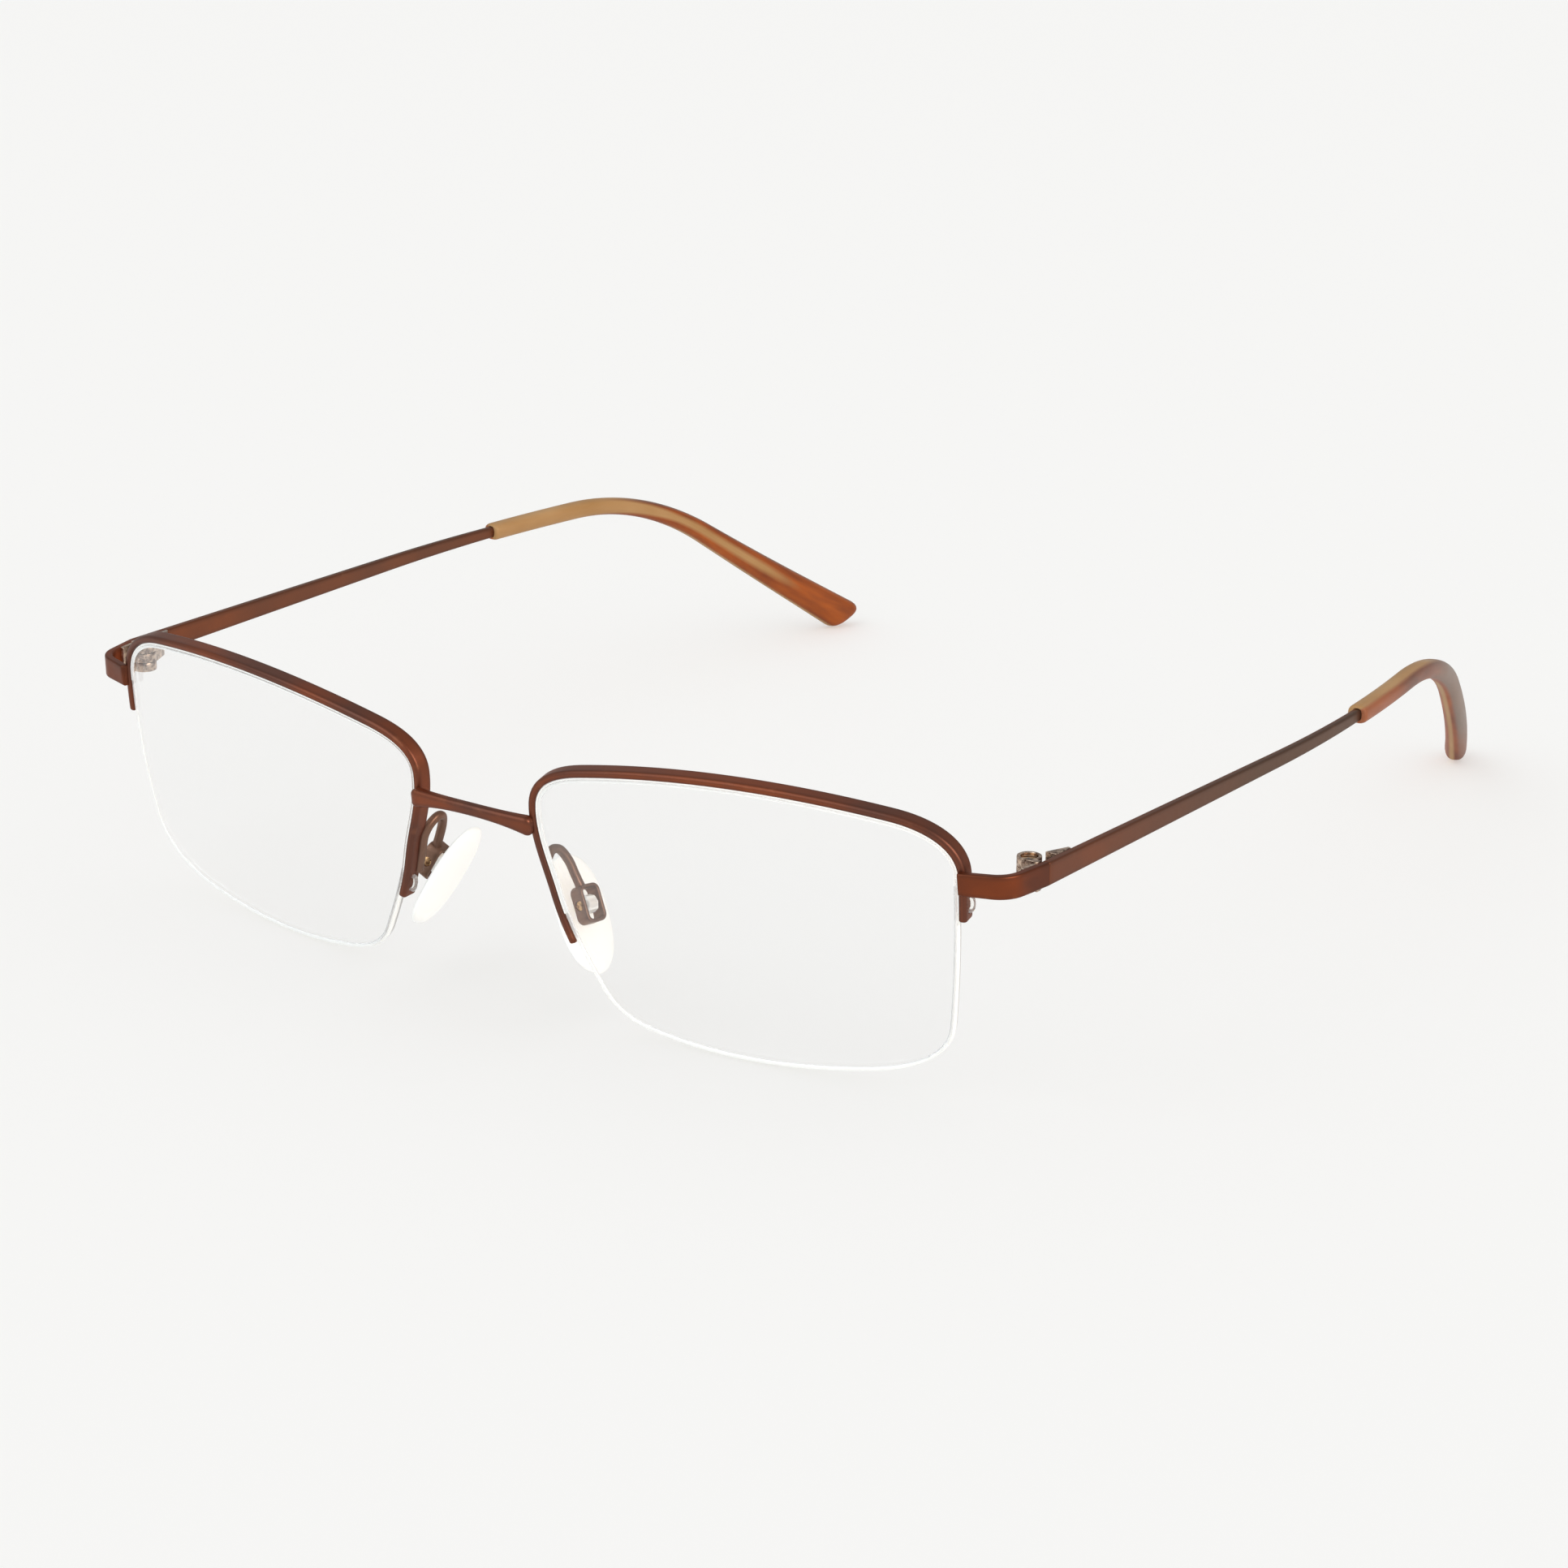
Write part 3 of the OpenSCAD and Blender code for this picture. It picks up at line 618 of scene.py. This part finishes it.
def rounded_ends(ts, reach, ease=(0.0, 0.6, 0.86, 0.97)):
    """Extra stations near both ends, and the section's scale at each."""
    step = reach / (len(ease) - 1)
    head = [ts[0] + i * step for i in range(len(ease))]
    tail = [ts[-1] - i * step for i in range(len(ease))][::-1]
    inner = [t for t in ts if head[-1] + step / 2 < t < tail[0] - step / 2]
    scales = [0.76 + 0.24 * e for e in ease]
    return head + inner + tail, scales + [1.0] * len(inner) + scales[::-1]


def build_rim(word, side):
    ts, scales = rounded_ends(stations(RIM_FROM, RIM_TO, 190), 0.014)
    section = rim_section()
    rings, tags = along_outline(ts, section, scales, np.array([RIM_H / 2, MID]))
    verts, faces = loft(from_eye(rings))
    piece = put(f"rim_look_{word}", verts, faces, "front", RIM_PAINT, side, [f"rim_{word}"],
                {"edge": tags})
    holes = [rod(*(from_eye(on_lens(edge(t, reach), MID)) for reach in (0.2, 2.0)), HOLE_R, 20)
             for t in TEMPLE_HOLES + NOSE_HOLES]
    return cut(piece, side, *holes)


def build_liner(word, side):
    """A strip that lies in the rim's channel, with a web down into the lens groove."""
    web, web_end, flange = 0.30, -0.69, 0.65
    half = [
        (0.37, web), (-0.03, web), (-0.03, flange - 0.08), (-0.08, flange), (-0.2, flange),
        (-0.27, flange - 0.1), (-0.27, web), (web_end, web),
    ]
    other_half = [(out, -deep) for out, deep in half[::-1]]
    section = np.array([(out, MID + deep, 0) for out, deep in half + other_half])
    ts = stations(8.95, 13.2, 150)
    rings, _ = along_outline(ts, section, [1.0] * len(ts), np.array([0, MID]))
    verts, faces = loft(from_eye(rings))
    return put(f"liner_look_{word}", verts, faces, "front", LINER, side, [f"liner_{word}"])


def cord_end(holes, way):
    """The cord's way out of the rim by one hole and back in by the other: [(place, distance outwards)]."""
    first, last, loop = holes[1], holes[0], RIM_H + 0.38
    return [
        (first, 0.2), (first, loop - 0.5), (first - 0.012 * way, loop - 0.12), ((first + last) / 2, loop),
        (last + 0.012 * way, loop - 0.12), (last, loop - 0.5), (last, 0.35), (last - 0.03 * way, -0.05),
        (last - 0.07 * way, CORD_OUT),
    ]


def build_cord(word, side):
    joins = len(JOINS)
    route = cord_end([t - joins for t in NOSE_HOLES], -1) + [(i / 8, CORD_OUT) for i in range(37, 70)]
    route += cord_end(TEMPLE_HOLES, 1)[::-1]
    path = smooth_path([on_lens(edge(t, out), MID) for t, out in route], 5)
    end_points, angles = 42, round_angles(14)
    rings, loops = [], []
    for i in range(len(path)):
        loops.append(np.full(len(angles), float(min(i, len(path) - 1 - i) < end_points)))
        along = travel(path, i)
        across = unit(np.cross([0, 1, 0], along))
        up = np.cross(along, across)
        rings.append([path[i] + CORD_R * (math.cos(a) * across + math.sin(a) * up) for a in angles])
    verts, faces = loft(from_eye(rings))
    return put(f"cord_look_{word}", verts, faces, "front", NYLON, side, [f"nylon_cord_{word}"],
               {"loop": np.ravel(loops)})


def build_lens(word, side):
    """Front surface, bevelled edge with its groove, back surface, as rings round the outline."""
    inset, groove, half = 0.3, 0.45, 0.36
    ts = stations(0, len(JOINS), 361)[:-1]
    rim, out = np.array([outwards(t) for t in ts]).transpose(1, 0, 2)
    shares = [0.06, 0.15, 0.25, 0.35, 0.45, 0.55, 0.65, 0.74, 0.82, 0.89, 0.94, 0.975]
    rings = [[on_lens(p * s, 0) for p in rim] for s in shares]
    dome_angles = np.radians([-60, -30, 0, 30, 60])
    dome = [(groove * math.cos(a) ** 0.6, MID + half * math.sin(a)) for a in dome_angles]
    profile = [(0.1, 0.0), (0.03, 0.03), (0.0, 0.1), (0.0, MID - half)] + dome
    profile += [(0.0, MID + half), (0.0, LENS_T - 0.1), (0.03, LENS_T - 0.03), (0.1, LENS_T)]
    rings += [[on_lens(p - (inset + deep) * o, y) for p, o in zip(rim, out)] for deep, y in profile]
    rings += [[on_lens(p * s, LENS_T) for p in rim] for s in shares[::-1]]
    middle = np.zeros(2)
    verts, faces = loft(rings, on_lens(middle, 0), on_lens(middle, LENS_T))
    count = len(ts)
    ground = range((len(shares) + 1) * count, (len(shares) + len(profile) - 2) * count)
    return put(f"lens_look_{word}", from_eye(verts), faces, "front", LENS, side, [f"lens_{word}"],
               sharp=25, second=(GROUND_EDGE, ground))


# ---- Bridge and endpieces ----


def build_bridge():
    """A bar arched forwards and up, taller where it meets the rims."""
    half = NOSE_X - 0.2
    spots = np.sin(np.linspace(-math.pi / 2, math.pi / 2, 81))
    rings, tags = [], []
    for s in spots:
        arch = 1 - s * s
        near = min(1.0, (1 - abs(s)) / 0.1)
        trim = 0.4 + 0.6 * math.sqrt(max(1 - (1 - near) ** 2, 0))
        tall = trim * (1.5 + 1.0 * abs(s) ** 2.4)
        deep = trim * (1.15 + 0.3 * abs(s) ** 4)
        at = np.array([half * s, -1.45 - 0.65 * arch, 7.9 + 0.7 * arch])
        section = bar(deep, tall, 0.46 * trim, 8, 3)
        rings.append([at + [0, p[0], p[1]] for p in section])
        tags.append(section[:, 2])
    verts, faces = loft(from_front(rings))
    return put("bridge_look", verts, faces, "front", RIM_PAINT, 1.0, ["bridge"],
               {"edge": np.ravel(tags)})


# The endpiece strap: its start and heading in the front's plane, and the corner that it turns
STRAP_START, STRAP_HEAD = np.array([SIDE_X - 0.55, 6.45, 9.4]), math.radians(19)
CORNER_R, FLAT_RUN = 3.2, 3.7
CORNER_RUN = CORNER_R * math.radians(63)


def strap_plan(run):
    """The strap's place seen from above, and its heading, after a length of run."""
    flat = min(run, FLAT_RUN)
    a0, a1 = STRAP_HEAD, STRAP_HEAD + max(run - FLAT_RUN, 0) / CORNER_R
    return (
        STRAP_START[0] + flat * math.cos(a0) + CORNER_R * (math.sin(a1) - math.sin(a0)),
        STRAP_START[1] + flat * math.sin(a0) + CORNER_R * (math.cos(a0) - math.cos(a1)),
        a1,
    )


def build_endpiece(word, side):
    up_front = from_front([0, 0, 1]) - from_front([0, 0, 0])
    section = bar(STRAP_THICK, STRAP_TALL, 0.24, 6, 5)
    end_run = FLAT_RUN + CORNER_RUN
    fall = 0.115
    runs = [0, 0.05, 0.12, 0.6, 1.5, 2.4, 3.2] + list(np.linspace(FLAT_RUN, end_run, 17))
    rings = []
    for run in runs:
        x, y, a = strap_plan(run)
        at = from_front([x, y, STRAP_START[2] - (y - STRAP_START[1]) * fall])
        part = run / end_run
        up = unit((1 - part) * up_front + part * np.array([0, 0, 1]))
        out = np.array([math.sin(a), -math.cos(a), 0])
        scale = {0: (0.84, 0.94), 0.05: (0.95, 0.985)}.get(run, (1, 1))
        rings.append([at + p[0] * scale[0] * out + p[1] * scale[1] * up for p in section])
    last = np.array(rings[-1])
    end = np.array([SEAM + [p[0], -SEAM_GAP / 2, p[1]] for p in section])
    rings += [last * (1 - share) + end * share for share in (0.3, 0.6, 0.85, 0.97)] + [end]
    verts, faces = loft(rings)
    tags = np.array([section[:, 2]] * len(rings))
    # Both ends count as edges: darkened as painted shade where the strap meets the rim and the temple, and
    # worn.
    tags[:2] = 1
    tags[-1] = 1
    return put(f"endpiece_look_{word}", verts, faces, "front", STRAP_PAINT, side,
               [f"endpiece_{word}"], {"edge": tags.ravel()})


# ---- Hinges ----

# Barrel of three knuckles, and in plan from the pin: the strap's inner face and the end of the front leaf
BARREL_R, BARREL_H, GAP = 1.4, 3.5, 0.05
KNUCKLE = (BARREL_H - 2 * GAP) / 3
FACE = SEAM[0] - STRAP_THICK / 2 - PIN[0]
FRONT_END = SEAM[1] - PIN[1] - 0.1
LEAF = (BARREL_H - 0.3) / 2
SLOT_TURN = math.radians(28)


def knuckle(low, high, hole):
    return lathe(bevelled_ring(hole, BARREL_R, low, high, 0.09), place=from_pin)


def build_hinge(word, side):
    step = KNUCKLE / 2 + GAP
    top = BARREL_H / 2
    cup = [
        (0.63, step), (1.31, step), (1.37, step + 0.03), (1.4, step + 0.09), (1.4, top - 0.1),
        (1.37, top - 0.03), (1.3, top), (1.08, top), (1.0, top - 0.08), (1.0, top - 0.58), (0.63, top - 0.6),
    ]
    near = -BARREL_R + 0.04
    link_plan = [(0.2, near), (FACE, near), (FACE, FRONT_END), (0.2, FRONT_END)]
    links = [slab(link_plan, low, low + KNUCKLE, 0.06, from_pin) for low in (step, -step - KNUCKLE)]
    leaf_plan = [(BARREL_R - 0.3, -3.6), (FACE - 0.35, -3.6), (FACE + 0.08, FRONT_END),
                 (BARREL_R + 0.15, FRONT_END)]
    leaf = slab(leaf_plan, -LEAF, LEAF, 0.06, from_pin)
    verts, faces = joined(lathe(cup, place=from_pin), knuckle(-top, -step, 0.62), leaf, *links)
    put(f"hinge_front_look_{word}", verts, faces, "front", HINGE_METAL, side,
        [f"hinge_front_{word}"])
    link_plan = [(0.66, 0.25), (1.5, 0.25), (1.5, 2.7), (0.66, 2.7)]
    wedge_plan = [(0.55, 2.4), (FACE + 0.1, 2.4), (FACE + 0.16, 5.2), (FACE - 0.2, 5.2)]
    verts, faces = joined(
        knuckle(-KNUCKLE / 2, KNUCKLE / 2, 0.65), slab(link_plan, -KNUCKLE / 2, KNUCKLE / 2, 0.06, from_pin),
        slab(wedge_plan, -LEAF, LEAF, 0.08, from_pin),
    )
    put(f"hinge_rear_look_{word}", verts, faces, f"temple_{word}", HINGE_METAL, side,
        [f"hinge_rear_{word}"])
    screw_profile = [(0.5, -top), (0.6, -top + 0.1), (0.6, top - 0.6), (0.95, top - 0.58), (0.95, top - 0.3),
                     (0.88, top - 0.22)]
    rings = [[(r * math.cos(a), r * math.sin(a), z) for a in round_angles(48)] for r, z in screw_profile]
    verts, faces = loft(rings, [0, 0, -top], [0, 0, top - 0.16])
    screw = put(f"hinge_screw_look_{word}", from_pin(verts), faces, "front", SCREW_METAL, side,
                [f"hinge_screw_{word}"])
    slot_plan = [(-1.2, -0.14), (1.2, -0.14), (1.2, 0.14), (-1.2, 0.14)]
    slot_verts, slot_faces = slab(slot_plan, top - 0.38, top + 0.4, 0.01)
    return cut(screw, side, (from_pin(turn_z(slot_verts, SLOT_TURN)), slot_faces))


# ---- Temples ----


def temple_point(run):
    """The temple's centre line at a length behind the seam."""
    a = min(max(run - STRAIGHT, 0) / BEND_R, BEND_A)
    rest = max(run - STRAIGHT - BEND_R * BEND_A, 0)
    along = min(run, STRAIGHT) + BEND_R * math.sin(a) + rest * math.cos(BEND_A)
    drop = BEND_R * (1 - math.cos(a)) + rest * math.sin(BEND_A)
    beside = math.sin(SPLAY) * run - max(run - BOW_START, 0) ** 2 / (2 * BOW_R)
    return SEAM + np.array([
        beside, SEAM_GAP / 2 + along * math.cos(DROOP) - drop * math.sin(DROOP),
        -along * math.sin(DROOP) - drop * math.cos(DROOP),
    ])


def temple_ring(run, section, lean=0.0):
    """A section [(outwards, up)] set square to the temple. lean moves its upper points rearwards."""
    along = np.array([0, 1.0, 0]) if run < 1 else unit(temple_point(run + 0.5) - temple_point(run - 0.5))
    out = unit(np.cross(along, [0, 0, 1]))
    up = np.cross(out, along)
    return [temple_point(run) + p[0] * out + p[1] * up + lean * p[1] * along for p in section]


def metal(run):
    """Width, height and corner radius of the metal: a strap that narrows to a wire."""
    if run < TIP_START:
        share = run / TIP_START
        return STRAP_THICK, STRAP_TALL - 1.25 * share, 0.24 + 0.08 * share
    beyond = run - TIP_START
    tall, wide = max(1.5 - beyond * 0.1, 1.4), min(1 + beyond * 0.2, 1.4)
    return wide, tall, min(0.32 + beyond * 0.2, 0.69)


def build_temple(word, side):
    runs = [0, 0.05, 0.14] + list(np.linspace(1, 86, 70)) + list(np.linspace(87, 133, 46))
    rings, tags, along = [], [], []
    for run in runs:
        wide, tall, radius = metal(run)
        scale = {0: 0.9, 0.05: 0.97}.get(run, 1.0)
        section = bar(wide * scale, tall * (1 - (1 - scale) * 0.35), radius, 6, 4)
        rings.append(temple_ring(run, section))
        tags.append(section[:, 2])
        # along sets the painted reflection: rising over the first 45 mm, full on the outer face, 0.4 on the
        # inner.
        along.append(np.where(section[:, 0] > 0, 1, 0.4) * min(run / 45, 1))
    verts, faces = loft(rings)
    return put(f"temple_look_{word}", verts, faces, f"temple_{word}", TEMPLE_PAINT, side,
               [f"temple_{word}"], {"edge": np.ravel(tags), "along": np.ravel(along)})


def oval(wide, tall, power=2.6, count=40):
    """A full, slightly squared oval: [(across, up)]."""
    out = []
    for a in round_angles(count):
        c, s = math.cos(a), math.sin(a)
        r = (abs(c) ** power + abs(s) ** power) ** (-1 / power)
        out.append((wide / 2 * r * c, tall / 2 * r * s))
    return np.array(out)


MOUTH = TIP_START + 0.2


def tip_size(run):
    """Width and height of the tip, which grows rearwards and closes at its blunt end."""
    grow = (max(run - 92, 0) / (LENGTH - 92)) ** 1.5
    left = (LENGTH - run) / 1.6
    close = 1 if left > 1 else 0.5 + 0.5 * math.sqrt(max(1 - (1 - left) ** 2, 0))
    return (2.6 + 0.4 * grow) * close, (2.3 + 2.8 * grow) * close


def rise(v, low, high):
    """0 up to low and 1 from high, or the other way round where high is the smaller."""
    return np.clip((v - low) / (high - low), 0, 1)


def tip_layers(run, section, tall):
    """How pale and how grey the acetate is round a section.

    Pale: the inner face, narrowing to a stripe, with part of the top before the bend and of the underside
    after it. Before the bend the lower outer face and the underside stay amber, partly as painted shade
    along the tip's lower edge. Grey: the outer face, most of all after the bend, where the top greys too.
    """
    share = (run - MOUTH) / (LENGTH - MOUTH)
    up, across = section[:, 1] / (tall / 2), section[:, 0] / np.abs(section[:, 0]).max()
    turn = np.degrees(np.arctan2(up, across))
    outer = rise(np.abs(turn), 74, 50)
    inner = np.where(up > 0, rise(turn, 100, 124), rise(-turn, 108, 132))
    behind, last = rise(run, 95, 105), rise(run, 126, 140)
    stripe_half = 1.25 - 0.95 * rise(share, 0.2, 0.5)
    stripe = rise(stripe_half - np.abs(up - 0.1), -0.3, 0.3) * rise(share, 0.9, 0.75)
    under = rise(run, 103, 109) * rise(-turn, 86, 108)
    top_or_under = np.where(up > 0, rise(share, 0.5, 0.3), under)
    # Before the bend the lower outer face and underside stay amber: the acetate's own layer, and painted
    # shade too.
    pale = inner * stripe + outer * rise(turn, 30, 85) * (1 - behind) + (1 - inner - outer) * top_or_under
    grey = behind * rise(turn, -82, -62) * rise(turn, 130, 110) * (1 - 0.6 * last)
    return pale, grey + 0.3 * outer * (1 - behind)


def build_tip(word, side):
    """Outer skin from the blunt end forward to the mouth, then back into the sleeve round the metal."""
    end_runs = [LENGTH - back for back in (0, 0.1, 0.3, 0.6, 1, 1.5)]
    steps = [(run, 0, 0) for run in end_runs + list(np.linspace(LENGTH - 2, MOUTH + 0.5, 110))]
    steps += [(MOUTH + back, trim, trim) for back, trim in ((0.3, 0.06), (0.12, 0.18), (0.0, 0.42))]
    sleeve = ((0, 1.3), (0.15, 1.45), (0.5, 1.45), (1.2, 0.9), (2.5, 0.9))
    steps += [(MOUTH + deep, trim, trim / 2) for deep, trim in sleeve]
    rings, pale, grey_share, layout = [], [], [], []
    for run, trim_wide, trim_tall in steps:
        wide, tall = tip_size(run if trim_wide == 0 else MOUTH)
        section = oval(wide - trim_wide, tall - trim_tall)
        lean = 0.5 * max(1 - (LENGTH - run) / 8, 0)
        rings.append(temple_ring(run, section, lean))
        pale_here, grey_share_here = tip_layers(run, section, tall)
        pale.append(pale_here)
        grey_share.append(grey_share_here)
        layout.append(np.column_stack([section, np.full(len(section), run * 0.3)]) * 0.001)
    verts, faces = loft(rings)
    tags = {"pale": np.ravel(pale), "grey_share": np.ravel(grey_share), "layout": np.vstack(layout)}
    return put(f"temple_tip_look_{word}", verts, faces, f"temple_{word}", ACETATE, side,
               [f"temple_tip_{word}"], tags, sharp=60)


# ---- Nose pads ----

# The pad arm's route, from the edge of the nose gap: up along the rim, rearwards, and down to the box
ARM = [
    (1.95, 0.2, -3.0), (1.45, 0.2, -1.4), (0.95, 0.2, 0.2), (0.5, 0.3, 1.8), (0.1, 1.0, 3.0),
    (-0.15, 2.2, 3.6), (0.05, 3.3, 3.15), (0.7, 3.85, 1.65), (1.35, 3.9, 0.05), (1.9, 3.9, -1.2),
    (2.05, 3.93, -1.7),
]
BOX_WALL = 0.4
# Half the pad's length and width, and its thickness from the middle
PAD_HALF_LONG, PAD_HALF_WIDE, PAD_THICK = 7.2, 4.3, 1.05


def box_ring():
    """The pad box: a rounded rectangular band, open towards the pad."""
    long, wide, radius = BOX_SIZE[2] - BOX_WALL, BOX_SIZE[1] - BOX_WALL, 0.7
    centre = []
    for q, (sz, sy) in enumerate(((1, 1), (-1, 1), (-1, -1), (1, -1))):
        for k in range(9):
            a = math.radians(90 * q + 90 * k / 8)
            n = np.array([math.cos(a), math.sin(a)])
            c = np.array([sz * (long / 2 - radius), sy * (wide / 2 - radius)])
            centre.append((c + radius * n, n))
    section = bar(BOX_WALL, BOX_SIZE[0], 0.13, 4, 2)
    rings = [[(p[1], c[1] + p[0] * n[1], c[0] + p[0] * n[0]) for p in section] for c, n in centre]
    verts, faces = loft(rings, closed=True)
    return verts + BOX_CENTRE, faces, np.tile(section[:, 2], len(rings))


def build_arm(word, side):
    """The pad arm with its box, and the pin through the box."""
    path = smooth_path([np.array(p) + [NOSE_X, 0, 0] for p in ARM], 8)
    rings, tags = [], []
    count = len(path)
    for i in range(count):
        along = travel(path, i)
        flat = unit(np.cross(along, [1, 0.2, 0]))
        across = np.cross(flat, along)
        flare = 1 + 0.3 * max(1 - (count - 1 - i) / 14, 0) ** 2
        section = bar(1.05, flare, 0.42, 6, 1)
        rings.append([path[i] + p[0] * flat + p[1] * across for p in section])
        tags.append(section[:, 2] * 0.6)
    band_verts, band_faces, band_tags = box_ring()
    verts, faces = joined(loft(from_front(rings)), (from_pad(band_verts), band_faces))
    arm = put(f"pad_arm_look_{word}", verts, faces, "front", ARM_PAINT, side,
              [f"pad_arm_{word}"], {"edge": np.concatenate([np.ravel(tags), band_tags])})
    front = BOX_CENTRE - [0, BOX_SIZE[1] / 2, 0]
    cut(arm, side, rod(from_pad(front - [0, 0.5, 0]), from_pad(front + [0, 0.22, 0]), 0.62))
    head = [(r, y - BOX_SIZE[1] / 2) for r, y in ((0.5, 0.2), (0.56, 0.18), (0.58, 0.1), (0.5, 0.06))]
    stem = [(0.4, y) for y in (1.49, 1.4, -1.1, -1.19)]
    verts, faces = joined(*(
        loft([[(r * math.cos(a), y, r * math.sin(a)) for a in round_angles(40)] for r, y in profile])
        for profile in (head, stem)
    ))
    put(f"pad_screw_look_{word}", from_pad(verts + BOX_CENTRE), faces, "front", SCREW_METAL,
        side, [f"pad_screw_{word}"])


def build_core(word, side):
    """A stiff oval plate inside the pad, with the lug that its box holds."""
    end_r, reach = 1.7, 2.5
    plate_plan = [(end_r * math.cos(a), math.copysign(reach, math.sin(a)) + end_r * math.sin(a))
                  for a in round_angles(24)]
    plate_verts, plate_faces = slab(plate_plan, -0.24, 0.24, 0.08)
    y, z = BOX_CENTRE[1], BOX_CENTRE[2]
    lug_plan = [(0.1, z - 1.1), (2.3, z - 1.1), (3.0, z - 0.8), (3.3, z), (3.0, z + 0.8), (2.3, z + 1.1),
                (0.1, z + 1.1)]
    lug_verts, lug_faces = slab(lug_plan, y - 0.72, y + 0.72, 0.12)
    verts, faces = joined((plate_verts[:, [2, 0, 1]], plate_faces), (lug_verts[:, [0, 2, 1]], lug_faces))
    return put(f"pad_core_look_{word}", from_pad(verts), faces, f"nose_pad_{word}", CORE, side,
               [f"pad_core_{word}"])


def build_silicone(word, side):
    """The soft pad, a full oval cushion, thinner towards its edge and on the side of its box."""
    rings = []
    for s in np.sin(np.linspace(-math.pi / 2, math.pi / 2, 44)[1:-1]):
        full = (1 - abs(s) ** 2.3) ** (1 / 2.3)
        half, thick = PAD_HALF_WIDE * full, PAD_THICK * full ** 0.7
        rings.append([
            (-thick * math.cos(a) * (1 if math.cos(a) > 0 else 0.8), half * math.sin(a), PAD_HALF_LONG * s)
            for a in round_angles(48)
        ])
    verts, faces = loft(rings, [0, 0, -PAD_HALF_LONG], [0, 0, PAD_HALF_LONG])
    pad = put(f"nose_pad_look_{word}", from_pad(verts), faces, f"nose_pad_{word}", SILICONE, side,
              [f"nose_pad_{word}"], sharp=80)
    return pad


for word, side in SIDES:
    build_rim(word, side)
    build_liner(word, side)
    build_cord(word, side)
    build_lens(word, side)
    build_endpiece(word, side)
    build_hinge(word, side)
    build_temple(word, side)
    build_tip(word, side)
    build_arm(word, side)
    build_core(word, side)
    build_silicone(word, side)
build_bridge()

# ---- Floor, light and camera ----


def build_floor():
    """A disc of pale card, far wider than the view, in metres."""
    rings = [[(r * math.cos(a), r * math.sin(a), 0) for a in round_angles(96)] for r in (0.3, 1.0, 3.0, 8.0)]
    verts, faces = loft(rings)
    mesh = bpy.data.meshes.new("floor")
    # loft() closes the outermost ring last, and that face would lie over the others
    mesh.from_pydata(verts.tolist(), [], faces[:-1])
    floor = add_object("floor", mesh)
    floor.location.z = -0.0002
    s = Surface("floor_card", (0.93, 0.93, 0.93, 1), Roughness=0.9, Specular_IOR_Level=0.1)
    mesh.materials.append(s.material)


build_floor()


def build_studio():
    """Even white light all round, as bright as the floor where it is seen, directly or through a lens."""
    world = bpy.data.worlds.new("studio")
    bpy.context.scene.world = world
    world.use_nodes = True
    nodes, links = world.node_tree.nodes, world.node_tree.links
    nodes["Background"].inputs["Color"].default_value = (1, 1, 1, 1)
    path, seen, strength = (nodes.new(f"ShaderNode{kind}") for kind in ("LightPath", "Math", "MapRange"))
    seen.operation = "MAXIMUM"
    links.new(path.outputs["Is Camera Ray"], seen.inputs[0])
    links.new(path.outputs["Is Transmission Ray"], seen.inputs[1])
    links.new(seen.outputs[0], strength.inputs["Value"])
    strength.inputs["To Min"].default_value, strength.inputs["To Max"].default_value = 0.5, 0.92
    links.new(strength.outputs["Result"], nodes["Background"].inputs["Strength"])


build_studio()


def sun(name, azimuth, elevation, strength, spread, colour=(1, 1, 1)):
    """Soft parallel light from a direction, azimuth 0 in front and 90 on the +X side."""
    light = bpy.data.lights.new(name, "SUN")
    light.energy, light.angle, light.color = strength, math.radians(spread), colour
    light.use_shadow = False
    lamp = add_object(name, light)
    a, e = math.radians(azimuth), math.radians(elevation)
    back = Vector((math.sin(a) * math.cos(e), -math.cos(a) * math.cos(e), math.sin(e)))
    lamp.rotation_mode = "QUATERNION"
    lamp.rotation_quaternion = back.to_track_quat("Z", "Y")


sun("warm_right", 80, 28, 1.9, 32, (1.0, 0.91, 0.82))
sun("cool_left", -25, 34, 1.4, 60, (0.86, 0.955, 1.0))

CAMERA_AT = Vector((0.2888, -0.42484, 0.18740))
RIGHT = Vector((0.81705, 0.57652, 0.00701))
DOWN = Vector((0.19721, -0.26801, -0.94301))
AHEAD = Vector((-0.54179, 0.77187, -0.33267))


def build_camera():
    camera = add_object("camera", bpy.data.cameras.new("camera"))
    turned = Matrix((RIGHT, -DOWN, -AHEAD)).transposed().to_4x4()
    camera.matrix_world = Matrix.Translation(CAMERA_AT) @ turned
    camera.data.lens, camera.data.sensor_width = 95.998, 36
    camera.data.clip_start, camera.data.clip_end = 0.01, 50
    bpy.context.scene.camera = camera


build_camera()
bpy.context.scene.view_settings.view_transform = "Standard"
